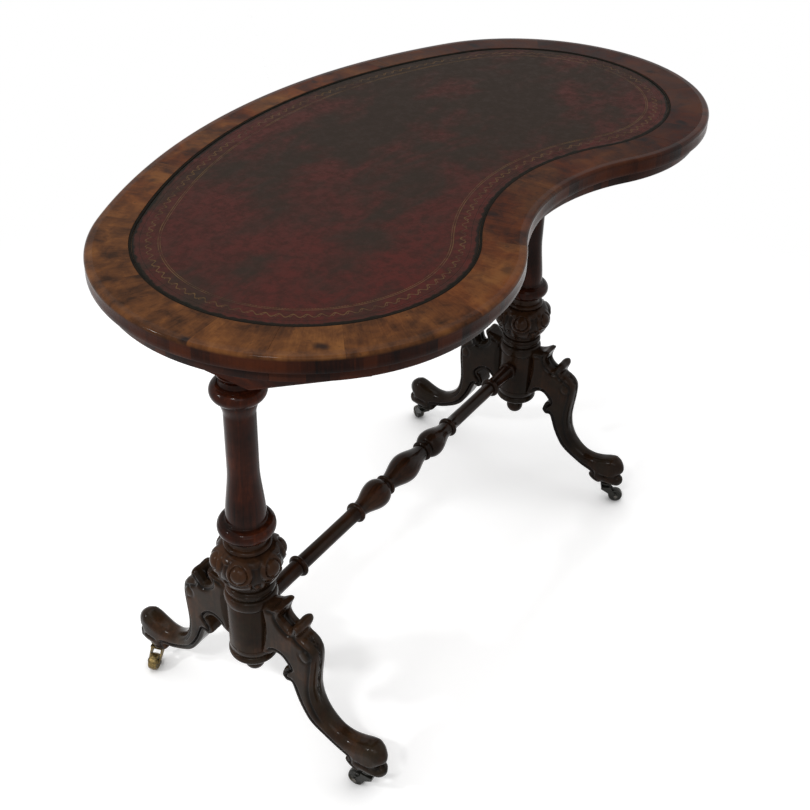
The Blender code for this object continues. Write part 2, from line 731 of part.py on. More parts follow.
def build_column(side, sign):
    x = sign * COLUMN_X
    spot = (x, 0, 0)
    spin(place("column_" + side, turned_mesh("column", column_profile()), WALNUT, spot),
         COLUMN_STEPS)

    vase = spin(place("vase_" + side, turned_mesh("vase", vase_profile()), WALNUT, spot),
                COLUMN_STEPS)
    depth = SPIGOT_LENGTH + SPIGOT_END_GAP
    cut(vase, bore("vase_bore_" + side, SPIGOT_RADIUS + GAP,
                   (0, 0, VASE_TOP_Z - depth), (0, 0, VASE_TOP_Z + depth), x, COLUMN_STEPS))

    cut(vase, cutter("bosses_" + side, boss_mesh(), spot), "UNION")

    hub = spin(place("hub_" + side, turned_mesh("hub", hub_profile()), WALNUT, spot),
               COLUMN_STEPS)
    cut(hub, bore("hub_bore_" + side, SPIGOT_RADIUS + GAP,
                  (0, 0, HUB_TOP_Z - depth), (0, 0, HUB_TOP_Z + depth), x, COLUMN_STEPS))
    finial_depth = FINIAL_TOP_Z + FINIAL_SPIGOT_LENGTH + SPIGOT_END_GAP
    cut(hub, bore("finial_bore_" + side, FINIAL_SPIGOT_RADIUS + GAP,
                  (0, 0, FINIAL_TOP_Z), (0, 0, finial_depth), x, SMALL_STEPS))
    cut(hub, bore("stretcher_bore_" + side, STRETCHER_SPIGOT_RADIUS + GAP,
                  (sign * (STRETCHER_SPIGOT_END_X + SPIGOT_END_GAP) - x, 0, STRETCHER_Z),
                  (sign * STRETCHER_SHOULDER_X - x, 0, STRETCHER_Z), x, STRETCHER_STEPS))

    disc = turned_mesh("disc", disc_profile(), closed=True)
    spin(place("base_disc_" + side, disc, WALNUT, spot), COLUMN_STEPS)
    spin(place("finial_" + side, turned_mesh("finial", finial_profile()), WALNUT, spot),
         SMALL_STEPS)
    return hub


def leg_point(shares):
    return LEG_REACH * shares[0], LEG_TOP_Z * shares[1]


def leg_mesh():
    """Side view of a leg that reaches along +X of its own frame, with a soft arris."""
    points = [leg_point(pair) for pair in LEG_OUTLINE_SHARES]
    mesh = prism_mesh("leg", [points], -LEG_HALF_THICKNESS, LEG_HALF_THICKNESS)
    mesh.transform(Matrix.Rotation(math.pi / 2, 4, "X"))
    bm = bmesh.new()
    bm.from_mesh(mesh)
    bmesh.ops.dissolve_limit(
        bm, angle_limit=ARRIS_ANGLE, verts=bm.verts, edges=bm.edges, delimit={"NORMAL"}
    )
    rim = [edge for edge in bm.edges if abs(edge.calc_face_angle() - math.pi / 2) < ARRIS_ANGLE]
    arrises = [
        edge for edge in rim
        if all(abs(abs(vertex.co.y) - LEG_HALF_THICKNESS) < GAP for vertex in edge.verts)
        and abs(edge.verts[0].co.y - edge.verts[1].co.y) < GAP
    ]
    bmesh.ops.bevel(
        bm, geom=arrises, offset=LEG_ARRIS, segments=1, affect="EDGES", clamp_overlap=True,
    )
    return finished_mesh("leg", bm)


def leg_plan_mesh():
    """Plan of a leg, wider at the knee and the toe than at the ankle, with a round toe."""
    half = [(LEG_REACH * reach, LEG_HALF_THICKNESS * share) for reach, share in LEG_PLAN_SHARES]
    mirrored = [(reach, -across) for reach, across in reversed(half)]
    return prism_mesh("leg_plan", [half + mirrored], 0.0, LEG_TOP_Z + SPIGOT_LENGTH)


def dovetail_mesh(name, grown, low, high):
    """Tongue of a leg, or with growth its slot, reaching along +X from the column axis."""
    tip = DOVETAIL_TIP_HALF + grown
    root = DOVETAIL_ROOT_HALF + grown
    start = DOVETAIL_REACH - grown
    end = HUB_RADIUS + DOVETAIL_ROOT_DEPTH
    return prism_mesh(name, [[(start, -tip), (end, -root), (end, root), (start, tip)]], low, high)


def build_legs(side, sign, hub):
    x = sign * COLUMN_X
    cope = spin(cutter("cope_" + side, turned_mesh("cope", capped([
        (HUB_BEAD_RADIUS + GAP, LEG_TOP_Z + SPIGOT_LENGTH),
        (HUB_BEAD_RADIUS + GAP, HUB_BEAD_Z - HUB_BEAD_HEIGHT / 2 - GAP),
        (HUB_RADIUS + GAP, HUB_BEAD_Z - HUB_BEAD_HEIGHT / 2 - GAP),
        (HUB_RADIUS + GAP, DISC_BOTTOM_Z),
    ])), location=(x, 0, 0)), COLUMN_STEPS)
    for end, way in ENDS:
        leg = place("leg_%s_%s" % (side, end), leg_mesh(), WALNUT,
                    location=(x, 0, 0), rotation=(0, 0, way * math.pi / 2))
        spot, turn = leg.location, leg.rotation_euler
        label = "%s_%s" % (side, end)
        cut(leg, cutter("plan_" + label, leg_plan_mesh(), spot, turn), "INTERSECT")
        cut(leg, cope)
        tongue = dovetail_mesh("tongue", 0.0, DOVETAIL_BOTTOM_Z, DOVETAIL_TOP_Z)
        cut(leg, cutter("tongue_" + label, tongue, spot, turn), "UNION")
        slot = dovetail_mesh("slot", GAP, DISC_BOTTOM_Z, DOVETAIL_TOP_Z + GAP)
        cut(hub, cutter("slot_" + label, slot, spot, turn))


def half_stretcher():
    """Profile of one half as (radius, distance from the middle), from the middle outwards."""
    points = [(MID_VASE_RADIUS, 0)]
    vase_end = (MID_VASE_END_RADIUS, MID_RING_X - RING_WIDTH / 2)
    points += easing((MID_VASE_RADIUS, 0), vase_end, SWELL_STEPS)
    points += bead_out(MID_RING_RADIUS, MID_VASE_END_RADIUS, MID_RING_X)
    bulb = (BULB_RADIUS, BULB_X)
    tail = (BULB_TAIL_RADIUS, BULB_TAIL_X)
    points.append((BULB_INNER_RADIUS, BULB_INNER_X))
    points += rounding((BULB_INNER_RADIUS, BULB_INNER_X), bulb, NECK_STEPS)
    points.append(bulb)
    points += easing(bulb, tail, SWELL_STEPS)
    points.append(tail)
    points += bead_out(OUTER_RING_RADIUS, BULB_TAIL_RADIUS, OUTER_RING_X)
    points += bead_out(END_RING_RADIUS, ROD_RADIUS, END_RING_X)
    points.append((ROD_NECK_RADIUS, (END_RING_X + HUB_COLLAR_X) / 2))
    points += bead_out(HUB_COLLAR_RADIUS, ROD_RADIUS, HUB_COLLAR_X)
    points.append((ROD_RADIUS, STRETCHER_SHOULDER_X))
    points.append((STRETCHER_SPIGOT_RADIUS, STRETCHER_SHOULDER_X))
    points.append((STRETCHER_SPIGOT_RADIUS, STRETCHER_SPIGOT_END_X))
    points.append((0, STRETCHER_SPIGOT_END_X))
    return points


def bead_out(radius, root, middle):
    points = bead(radius, root, middle, RING_WIDTH)
    return [(across, 2 * middle - along) for across, along in points]


def rounding(start, end, steps):
    """Quarter round rise from one point to the next."""
    points = []
    for step in range(1, steps):
        turn = math.pi / 2 * step / steps
        points.append((
            start[0] + (end[0] - start[0]) * math.sin(turn),
            start[1] + (end[1] - start[1]) * (1 - math.cos(turn)),
        ))
    return points


def build_stretcher():
    half = half_stretcher()
    low = [(radius, -along) for radius, along in half[1:]]
    high = list(reversed(half))
    mesh = turned_mesh("stretcher", high + low)
    spin(place("stretcher", mesh, WALNUT, location=(0, 0, STRETCHER_Z),
               rotation=(0, math.pi / 2, 0)), STRETCHER_STEPS)


def plate_profile():
    boss_bottom = CROWN_TOP_Z + GAP
    head_top = CROWN_Z - GAP
    return [
        (0, PLATE_TOP_Z + SPINDLE_LENGTH),
        (SPINDLE_RADIUS, PLATE_TOP_Z + SPINDLE_LENGTH - SPINDLE_POINT),
        (SPINDLE_RADIUS, PLATE_TOP_Z),
        (PLATE_RADIUS, PLATE_TOP_Z),
        (PLATE_RADIUS, PLATE_BOTTOM_Z),
        (PLATE_BOSS_RADIUS, PLATE_BOTTOM_Z),
        (PLATE_BOSS_RADIUS, boss_bottom),
        (PIVOT_RADIUS, boss_bottom),
        (PIVOT_RADIUS, head_top),
        (PIVOT_HEAD_RADIUS, head_top),
        (PIVOT_HEAD_RADIUS, head_top - PIVOT_HEAD_HEIGHT),
        (0, head_top - PIVOT_HEAD_HEIGHT),
    ]


def fork_mesh():
    """Bent strap seen from behind, pushed along its own width."""
    outline = [
        (-CHEEK_OUTER, 0),
        (-CHEEK_INNER, 0),
        (-CHEEK_INNER, CROWN_Z),
        (CHEEK_INNER, CROWN_Z),
        (CHEEK_INNER, 0),
        (CHEEK_OUTER, 0),
        (CHEEK_OUTER, CROWN_TOP_Z),
        (-CHEEK_OUTER, CROWN_TOP_Z),
    ]
    reach = CASTOR_TRAIL + WHEEL_RADIUS
    mesh = prism_mesh("fork", [outline], -reach, reach)
    mesh.transform(ACROSS)
    return mesh


def fork_side_mesh():
    """Side shape of the fork: crown over the pivot, cheeks leaning to the axle."""
    eye = 2 * AXLE_HEAD_RADIUS
    chin = WHEEL_RADIUS - eye / 2
    outline = [
        (-CROWN_HALF_LENGTH, CROWN_TOP_Z + GAP),
        (-CROWN_HALF_LENGTH, CROWN_Z - GAP),
        (CASTOR_TRAIL - eye / 2, WHEEL_RADIUS),
        (CASTOR_TRAIL - eye / 4, chin),
        (CASTOR_TRAIL + eye / 4, chin),
        (CASTOR_TRAIL + eye / 2, WHEEL_RADIUS),
        (CROWN_HALF_LENGTH + GAP, CROWN_Z - GAP),
        (CROWN_HALF_LENGTH + GAP, CROWN_TOP_Z + GAP),
    ]
    mesh = prism_mesh("fork_side", [outline], -2 * CHEEK_OUTER, 2 * CHEEK_OUTER)
    mesh.transform(Matrix.Rotation(math.pi / 2, 4, "X"))
    return mesh


def wheel_profile():
    hole = AXLE_RADIUS + GAP
    flat = WHEEL_HALF_WIDTH - WHEEL_ARRIS
    tread = WHEEL_RADIUS - WHEEL_ARRIS
    return [
        (hole, WHEEL_HALF_WIDTH),
        (tread, WHEEL_HALF_WIDTH),
        (WHEEL_RADIUS, flat),
        (WHEEL_RADIUS, -flat),
        (tread, -WHEEL_HALF_WIDTH),
        (hole, -WHEEL_HALF_WIDTH),
    ]


def axle_profile():
    inner = CHEEK_OUTER + GAP
    outer = inner + AXLE_HEAD_HEIGHT
    half = [(0, outer), (AXLE_HEAD_RADIUS, outer), (AXLE_HEAD_RADIUS, inner), (AXLE_RADIUS, inner)]
    return half + [(radius, -along) for radius, along in reversed(half)]


def build_castor(side, sign, end, way):
    label = "%s_%s" % (side, end)
    x, y = sign * COLUMN_X, way * CASTOR_REACH
    spot = (x, y, 0)
    spin(place("castor_plate_" + label, turned_mesh("plate", plate_profile()), BRASS, spot),
         SMALL_STEPS)
    cut(bpy.data.objects["leg_" + label], cutter("spindle_bore_" + label, cylinder_mesh(
        "spindle_bore", SPINDLE_RADIUS + GAP, PLATE_BOTTOM_Z,
        PLATE_TOP_Z + SPINDLE_LENGTH + GAP, SMALL_STEPS), spot))
    swivel = bpy.data.objects.new("swivel_" + label, None)
    DESK.objects.link(swivel)
    swivel.location = spot
    swivel.rotation_euler = (0, 0, CASTOR_TURNS[label])

    fork = place("castor_fork_" + label, fork_mesh(), BRASS, parent=swivel)
    cut(fork, cutter("fork_side_" + label, fork_side_mesh(), parent=swivel), "INTERSECT")
    cut(fork, cutter("pivot_bore_" + label, cylinder_mesh(
        "pivot_bore", PIVOT_RADIUS + GAP, CROWN_Z - CROWN_THICKNESS,
        CROWN_TOP_Z + CROWN_THICKNESS), parent=swivel))
    axis = (CASTOR_TRAIL, 0, WHEEL_RADIUS)
    lie = (math.pi / 2, 0, 0)
    cut(fork, cutter("axle_bore_" + label, cylinder_mesh(
        "axle_bore", AXLE_RADIUS + GAP, -2 * CHEEK_OUTER, 2 * CHEEK_OUTER),
        axis, lie, swivel))
    spin(place("castor_axle_" + label, turned_mesh("axle", axle_profile()), IRON, axis, lie,
               swivel), BORE_STEPS)
    spin(place("castor_wheel_" + label, turned_mesh("wheel", wheel_profile(), closed=True),
               BRASS, axis, lie, swivel), COLUMN_STEPS)


def build_desk():
    board = build_top()
    build_frieze()
    for side, sign in SIDES:
        build_bearer(side, sign, board)
        hub = build_column(side, sign)
        build_legs(side, sign, hub)
        for end, way in ENDS:
            build_castor(side, sign, end, way)
    build_stretcher()


build_desk()
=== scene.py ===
"""Looks of the kidney shaped writing desk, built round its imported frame.

Metres, +Z up. +X runs along the desk, -Y is the kneehole side.
"""

import logging
import math
from dataclasses import dataclass
from enum import Enum
from typing import Callable, Sequence

import bpy
import numpy as np
from mathutils import Matrix, Vector, geometry


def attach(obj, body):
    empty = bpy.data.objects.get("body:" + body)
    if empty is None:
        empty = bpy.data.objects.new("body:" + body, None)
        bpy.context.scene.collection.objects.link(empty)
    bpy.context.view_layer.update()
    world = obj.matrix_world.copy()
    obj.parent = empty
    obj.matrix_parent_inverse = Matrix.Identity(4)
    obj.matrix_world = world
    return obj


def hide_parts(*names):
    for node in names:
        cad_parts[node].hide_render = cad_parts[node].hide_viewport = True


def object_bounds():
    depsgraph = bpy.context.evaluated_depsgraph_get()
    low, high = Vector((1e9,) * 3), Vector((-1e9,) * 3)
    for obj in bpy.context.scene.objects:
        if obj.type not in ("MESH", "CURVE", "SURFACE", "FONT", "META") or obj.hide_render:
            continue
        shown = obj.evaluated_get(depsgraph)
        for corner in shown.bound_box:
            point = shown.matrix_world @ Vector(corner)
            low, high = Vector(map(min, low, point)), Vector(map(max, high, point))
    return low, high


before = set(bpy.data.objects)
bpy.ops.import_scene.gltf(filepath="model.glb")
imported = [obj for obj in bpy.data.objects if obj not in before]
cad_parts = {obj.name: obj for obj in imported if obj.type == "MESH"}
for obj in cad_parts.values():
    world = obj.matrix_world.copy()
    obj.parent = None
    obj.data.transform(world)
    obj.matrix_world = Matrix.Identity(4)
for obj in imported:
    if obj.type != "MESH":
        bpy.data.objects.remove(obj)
CAD_LOW, CAD_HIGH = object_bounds()

LOG = logging.getLogger("desk")
HAIR = 0.0003  # Space between neighbouring pieces.
COLUMN_X = 0.338  # From the middle of the desk to a column's axis.
BATCH = 512  # Points that are measured at a time.
BODY = "desk"
TAU = 2 * math.pi

Colour = tuple[float, float, float]
Pair = tuple[float, float]
Socket = bpy.types.NodeSocket
Amount = float | bpy.types.NodeSocket


def display(red: int, green: int, blue: int) -> Colour:
    """Linear colour of three display values.

    Args:
        red: Red from 0 to 255.
        green: Green from 0 to 255.
        blue: Blue from 0 to 255.

    Returns:
        The linear colour that a shader takes.
    """
    shares = (red / 255, green / 255, blue / 255)
    return tuple(s / 12.92 if s <= 0.04045 else ((s + 0.055) / 1.055) ** 2.4 for s in shares)


def ease(value: np.ndarray, low: float, high: float) -> np.ndarray:
    """Smooth step.

    Args:
        value: What is compared.
        low: Value at which the step starts.
        high: Value at which it ends, below low for a falling step.

    Returns:
        0 before low, 1 after high, and a smooth rise between.
    """
    share = np.clip((value - low) / (high - low), 0, 1)
    return share * share * (3 - 2 * share)


def bell(value: np.ndarray, width: float) -> np.ndarray:
    """Soft hump that is 1 at zero and falls off with the given width."""
    return np.exp(-((value / width) ** 2))


class Slot(Enum):
    """Material slots."""

    BURR = "burr_walnut"
    FRIEZE = "frieze_walnut"
    WALNUT = "walnut"
    PINE = "carcase_pine"
    STRING = "dark_string"
    LEATHER = "leather"
    BRASS = "brass"
    IRON = "iron"


class Grain(Enum):
    """Direction of the wood's grain, as the noise frequency along X, Y and Z."""

    LONG = (7.0, 170.0, 170.0)
    UPRIGHT = (170.0, 170.0, 7.0)
    FORWARD = (150.0, 22.0, 60.0)


class Half(Enum):
    """One half of the desk: its word in node names and its sign on an axis."""

    @property
    def label(self) -> str:
        """Word used in node names."""
        return self.value[0]

    @property
    def sign(self) -> int:
        """Sign of this half on its axis."""
        return self.value[1]


class Side(Half):
    """The two ends of the desk, with the sign of their X."""

    LEFT = ("left", -1)
    RIGHT = ("right", 1)


class End(Half):
    """Front and back, with the sign of their Y."""

    FRONT = ("front", -1)
    BACK = ("back", 1)


class Shading:
    """Node tree of one finish or world, grown a node at a time."""

    def __init__(self, name: str, world: bool = False) -> None:
        """Starts a material or a world with its surface shader.

        Args:
            name: Its name.
            world: Whether it is a world.
        """
        store = bpy.data.worlds if world else bpy.data.materials
        self.material = store.new(name)
        self.material.use_nodes = True
        self.nodes = self.material.node_tree.nodes
        self.links = self.material.node_tree.links
        self.surface = self.nodes["Background" if world else "Principled BSDF"]

    def put(self, socket: Socket, value: Amount | Sequence[float]) -> None:
        """Sets or links an input.

        Args:
            socket: The input.
            value: A number, a colour, a vector or another node's output.
        """
        if isinstance(value, bpy.types.NodeSocket):
            self.links.new(value, socket)
        elif socket.type == "RGBA":
            socket.default_value = (*value, 1.0)
        else:
            socket.default_value = value

    def set(self, **inputs: Amount | Sequence[float]) -> None:
        """Sets the surface shader's inputs, named with underscores for spaces."""
        for name, value in inputs.items():
            self.put(self.surface.inputs[name.replace("_", " ")], value)

    def node(self, kind: str, *values: Amount | Sequence[float] | None,
             **settings: object) -> bpy.types.Node:
        """Adds a node.

        Args:
            kind: Node type without its common prefix.
            *values: Its first inputs in order, None for one left alone.
            **settings: Properties of the node.

        Returns:
            The node.
        """
        made = self.nodes.new("ShaderNode" + kind)
        for name, value in settings.items():
            setattr(made, name, value)
        for socket, value in zip(made.inputs, values):
            if value is not None:
                self.put(socket, value)
        return made

    def point(self) -> Socket:
        """Place in the desk's own frame, in metres."""
        return self.node("TexCoord").outputs["Object"]

    def chart(self, name: str) -> tuple[Socket, Socket]:
        """Two coordinates of a named UV map, in metres."""
        apart = self.node("SeparateXYZ", self.node("UVMap", uv_map=name).outputs[0])
        return apart.outputs[0], apart.outputs[1]

    def attribute(self, name: str) -> Socket:
        """Value of a named attribute."""
        return self.node("Attribute", attribute_name=name).outputs["Fac"]

    def axes(self, vector: Socket) -> tuple[Socket, Socket, Socket]:
        """X, Y and Z of a vector."""
        apart = self.node("SeparateXYZ", vector)
        return apart.outputs[0], apart.outputs[1], apart.outputs[2]

    def together(self, x: Amount, y: Amount, z: Amount = 0.0) -> Socket:
        """Vector of three values."""
        return self.node("CombineXYZ", x, y, z).outputs[0]

    def maths(self, operation: str, *values: Amount) -> Socket:
        """Result of a math operation on one value or two."""
        return self.node("Math", *values, operation=operation).outputs[0]

    def add(self, first: Amount, second: Amount) -> Socket:
        """Sum of two values."""
        return self.maths("ADD", first, second)

    def times(self, first: Amount, second: Amount) -> Socket:
        """Product of two values."""
        return self.maths("MULTIPLY", first, second)

    def weighed(self, *pairs: tuple[Socket, float]) -> Socket:
        """Sum of values, each times its weight."""
        total, *rest = (self.times(value, weight) for value, weight in pairs)
        for value in rest:
            total = self.add(total, value)
        return total

    def vector(self, operation: str, first: Socket, second: Socket | Sequence[float]) -> Socket:
        """Result of a vector operation."""
        return self.node("VectorMath", first, second, operation=operation).outputs[0]

    def highest(self, *values: Amount) -> Socket:
        """Greatest of two or more values."""
        best, *rest = values
        for value in rest:
            best = self.maths("MAXIMUM", best, value)
        return best

    def distance(self, x: Amount, y: Amount) -> Socket:
        """Length of a flat vector."""
        return self.maths("SQRT", self.add(self.times(x, x), self.times(y, y)))

    def seen(self) -> Socket:
        """1 for what the camera sees, also in a mirror or through glass, and 0 for light."""
        path = self.node("LightPath").outputs
        kinds = ("Camera", "Glossy", "Transmission")
        return self.highest(*(path["Is %s Ray" % kind] for kind in kinds))

    def noise(self, where: Socket, scale: float, detail: float = 4.0, rough: float = 0.55,
              warp: float = 0.0) -> Socket:
        """Cloudy pattern.

        Args:
            where: Coordinates.
            scale: Features in a unit of the coordinates.
            detail: Number of finer layers.
            rough: How strong the finer layers are.
            warp: How far the pattern bends.

        Returns:
            Value around a half.
        """
        made = self.node("TexNoise", where)
        made.inputs["Scale"].default_value = scale
        made.inputs["Detail"].default_value = detail
        made.inputs["Roughness"].default_value = rough
        made.inputs["Distortion"].default_value = warp
        return made.outputs["Fac"]

    def cells(self, where: Socket, scale: float) -> tuple[Socket, Socket]:
        """Distance to the nearest of scattered points, and that point's random colour."""
        made = self.node("TexVoronoi", where)
        made.inputs["Scale"].default_value = scale
        return made.outputs["Distance"], made.outputs["Color"]

    def chance(self, value: Amount) -> Socket:
        """Random value from 0 to 1 that belongs to a number."""
        made = self.node("TexWhiteNoise", noise_dimensions="1D")
        self.put(made.inputs["W"], value)
        return made.outputs["Value"]

    def step(self, value: Amount, low: float, high: float, start: float = 0.0,
             end: float = 1.0) -> Socket:
        """Smooth change from start to end as value goes from low to high."""
        ends = (value, low, high, start, end)
        return self.node("MapRange", *ends, interpolation_type="SMOOTHSTEP").outputs[0]

    def blend(self, share: Amount, first: Socket | Colour, second: Socket | Colour,
              mode: str = "MIX") -> Socket:
        """Mix of two colours, all second where share is 1."""
        made = self.node("Mix", data_type="RGBA", blend_type=mode)
        self.put(made.inputs[0], share)
        self.put(made.inputs[6], first)
        self.put(made.inputs[7], second)
        return made.outputs[2]

    def ramp(self, share: Socket, *stops: tuple[float, Colour]) -> Socket:
        """Colour read off a row of stops, each a position and a colour."""
        made = self.node("ValToRGB", share)
        row = made.color_ramp.elements
        while len(row) < len(stops):
            row.new(0.5)
        for element, (place, colour) in zip(row, stops):
            element.position = place
            element.color = (*colour, 1.0)
        return made.outputs[0]

    def relief(self, height: Socket, depth: float, strength: float = 1.0) -> None:
        """Makes the surface rise and fall.

        Args:
            height: Height from 0 to 1.
            depth: Real height of 1, in metres.
            strength: Share of it that shows.
        """
        made = self.node("Bump")
        made.inputs["Strength"].default_value = strength
        made.inputs["Distance"].default_value = depth
        self.put(made.inputs["Height"], height)
        self.set(Normal=made.outputs[0])


@dataclass(frozen=True)
class PolishedWalnut:
    """Dark red-brown polished walnut, dusty and worn near the floor, with painted shade in its hollows
    and towards the right end, and a painted highlight on raised carving.
    """

    name: str
    grain: Grain = Grain.UPRIGHT
    figure: float = 0.50
    dull: float = 0.0
    dark: Colour = display(24, 11, 7)
    middle: Colour = display(53, 23, 13)
    light: Colour = display(90, 41, 22)
    dust: Colour = display(46, 41, 30)
    hollow_shade: Colour = display(11, 10, 8)

    def build(self) -> bpy.types.Material:
        """Builds the material."""
        shade = Shading(self.name)
        place = shade.point()
        stretched = shade.vector("MULTIPLY", place, self.grain.value)
        streaks = shade.noise(stretched, 1.0, 6.0, 0.62, 0.7)
        clouds = shade.noise(place, 17.0, 4.0, 0.6)
        tone = shade.weighed((streaks, self.figure), (clouds, 1.0 - self.figure))
        wood = shade.ramp(tone, (0.36, self.dark), (0.52, self.middle), (0.68, self.light))
        # Relief attribute: below 0 marks hollows for painted shade, above 0 marks ridges for a painted
        # highlight.
        carving = shade.attribute("relief")
        hollow = shade.highest(shade.times(carving, -1.0), 0.0)
        lit_ridge = shade.highest(carving, 0.0)
        # Painted highlight: raised carving blended towards the light colour.
        wood = shade.blend(shade.times(lit_ridge, 0.35), wood, self.light)
        height = shade.axes(place)[2]
        low = shade.step(height, 0.40, 0.10)
        film = shade.noise(place, 41.0, 5.0, 0.65)
        dusty = shade.times(low, shade.step(film, 0.36, 0.64, 0.20, 0.85))
        wood = shade.blend(dusty, wood, shade.blend(0.45, self.dust, wood))
        # Painted shade: hollows blended towards near black.
        wood = shade.blend(shade.times(hollow, 0.80), wood, self.hollow_shade)
        # Painted shade: darker towards the right end of the desk.
        far = shade.step(shade.axes(place)[0], -0.25, 0.40)
        wood = shade.blend(shade.times(far, 0.50), wood, self.dark)
        shine = shade.add(shade.step(clouds, 0.3, 0.7, 0.10, 0.17), shade.times(dusty, 0.07))
        shine = shade.add(shine, self.dull)
        shade.set(Base_Color=wood, Roughness=shine, Specular_IOR_Level=0.07)
        pores = shade.noise(stretched, 3.0, 3.0, 0.7)
        shade.relief(shade.weighed((pores, 0.10), (clouds, 0.9)), 0.0002, 0.3)
        return shade.material


@dataclass(frozen=True)
class BurrVeneer:
    """Burr walnut laid in sheets across the band, with knots, swirling figure and painted shade towards
    the right end.
    """

    name: str
    length: float = 2.5
    sheets: int = 17
    dark: Colour = display(44, 27, 16)
    brown: Colour = display(69, 42, 24)
    golden: Colour = display(89, 55, 30)
    honey: Colour = display(110, 71, 38)
    knot: Colour = display(20, 18, 19)
    far_shade_tint: Colour = (0.34, 0.24, 0.29)
    red_tint: Colour = (0.86, 0.58, 0.50)

    def figure(self, shade: Shading) -> tuple[Socket, Socket]:
        """Colour of the veneer, with painted shade and painted light, and its fine height pattern.

        Args:
            shade: The node tree.

        Returns:
            The colour and the height.
        """
        along, across = shade.chart("band")
        place = shade.point()
        count = shade.times(along, self.sheets / self.length)
        sheet = shade.maths("FLOORED_MODULO", shade.maths("FLOOR", count), float(self.sheets))
        luck = shade.chance(sheet)
        slid = shade.vector("ADD", place, shade.together(0.0, 0.0, shade.times(sheet, 0.37)))
        swirl = shade.node("TexNoise", slid)
        swirl.inputs["Scale"].default_value = 19.0
        swirl.inputs["Detail"].default_value = 3.0
        bend = shade.vector("MULTIPLY", swirl.outputs["Color"], (0.034, 0.034, 0.034))
        bent = shade.vector("ADD", slid, bend)
        burl = shade.noise(bent, 44.0, 6.0, 0.62, 0.3)
        strip = shade.together(shade.times(along, 260.0), shade.times(across, 26.0), luck)
        threads = shade.noise(strip, 1.0, 4.0, 0.6, 1.2)
        clouds = shade.noise(bent, 15.0, 4.0, 0.6)
        tone = shade.weighed((burl, 0.40), (threads, 0.14), (clouds, 0.46))
        tone = shade.add(tone, shade.step(luck, 0.0, 1.0, -0.035, 0.035))
        colour = shade.ramp(tone, (0.39, self.dark), (0.46, self.brown), (0.53, self.golden),
                            (0.62, self.honey))
        ruddy = shade.blend(1.0, colour, self.red_tint, "MULTIPLY")
        x, y, _ = shade.axes(place)
        flush = shade.step(shade.noise(bent, 8.0, 3.0, 0.55), 0.43, 0.60)
        # The red flush is the veneer's figure; its fading towards the left end is painted light.
        flush = shade.times(flush, shade.step(x, -0.44, -0.10, 0.10, 1.0))
        colour = shade.blend(flush, colour, ruddy)
        apart, pick = shade.cells(bent, 31.0)
        rare = shade.step(shade.axes(pick)[0], 0.62, 0.80)
        eye = shade.times(shade.step(apart, 0.34, 0.08), rare)
        speck = shade.step(shade.noise(bent, 120.0, 3.0), 0.66, 0.74)
        stain = shade.highest(shade.times(eye, 0.85), shade.times(speck, 0.45))
        colour = shade.blend(stain, colour, self.knot)
        joint = shade.maths("ABSOLUTE", shade.add(shade.maths("FRACT", count), -0.5))
        seam = shade.step(joint, 0.4968, 0.4992)
        colour = shade.blend(shade.times(seam, 0.38), colour, self.dark)
        # Painted shade: darker and cooler towards the right end and the front.
        far = shade.step(shade.add(x, shade.times(y, -0.45)), -0.26, 0.38)
        far_shaded = shade.blend(1.0, colour, self.far_shade_tint, "MULTIPLY")
        return shade.blend(far, colour, far_shaded), burl

    def build(self) -> bpy.types.Material:
        """Builds the material."""
        shade = Shading(self.name)
        colour, burl = self.figure(shade)
        shade.set(Base_Color=colour, Roughness=shade.step(burl, 0.3, 0.7, 0.30, 0.40),
                  Specular_IOR_Level=0.022)
        shade.relief(burl, 0.00025, 0.35)
        return shade.material


@dataclass(frozen=True)
class EdgeVeneer(BurrVeneer):
    """Cross-banded edge: dark upright blocks below a golden rounded arris; painted light keeps the arris
    brightest at the near-left end.
    """

    arris_z: float = 0.6985
    block: float = 0.021
    face_dark: Colour = display(16, 11, 10)
    face_brown: Colour = display(52, 25, 16)
    face_light: Colour = display(74, 36, 20)

    def build(self) -> bpy.types.Material:
        """Builds the material."""
        shade = Shading(self.name)
        top, _ = self.figure(shade)
        along, around = shade.chart("band")
        place = shade.point()
        jitter = shade.noise(shade.together(shade.times(along, 24.0), 0.0), 1.0, 2.0)
        count = shade.add(shade.times(along, 1.0 / self.block), shade.times(jitter, 5.0))
        luck = shade.chance(shade.maths("FLOOR", count))
        strip = shade.together(shade.times(along, 420.0), shade.times(around, 34.0))
        threads = shade.noise(strip, 1.0, 4.0, 0.62, 0.6)
        clouds = shade.noise(place, 21.0, 4.0)
        tone = shade.weighed((luck, 0.24), (threads, 0.20), (clouds, 0.56))
        face = shade.ramp(tone, (0.30, self.face_dark), (0.48, self.face_brown),
                          (0.66, self.face_light))
        x, y, z = shade.axes(place)
        lift = shade.step(shade.add(z, shade.times(shade.add(clouds, -0.5), 0.002)),
                          self.arris_z - 0.0022, self.arris_z + 0.0012)
        # Painted light: the golden arris is full at the near-left end and fades towards the right.
        near = shade.step(shade.add(x, shade.times(y, 0.3)), 0.25, -0.30, 0.35, 1.0)
        lift = shade.times(lift, near)
        colour = shade.blend(lift, face, top)
        dull = shade.step(z, self.arris_z, self.arris_z - 0.004, 0.0, 0.16)
        glow = shade.add(shade.step(clouds, 0.3, 0.7, 0.09, 0.14), dull)
        shade.set(Base_Color=colour, Roughness=glow, Specular_IOR_Level=0.05)
        shade.relief(threads, 0.0001, 0.3)
        return shade.material


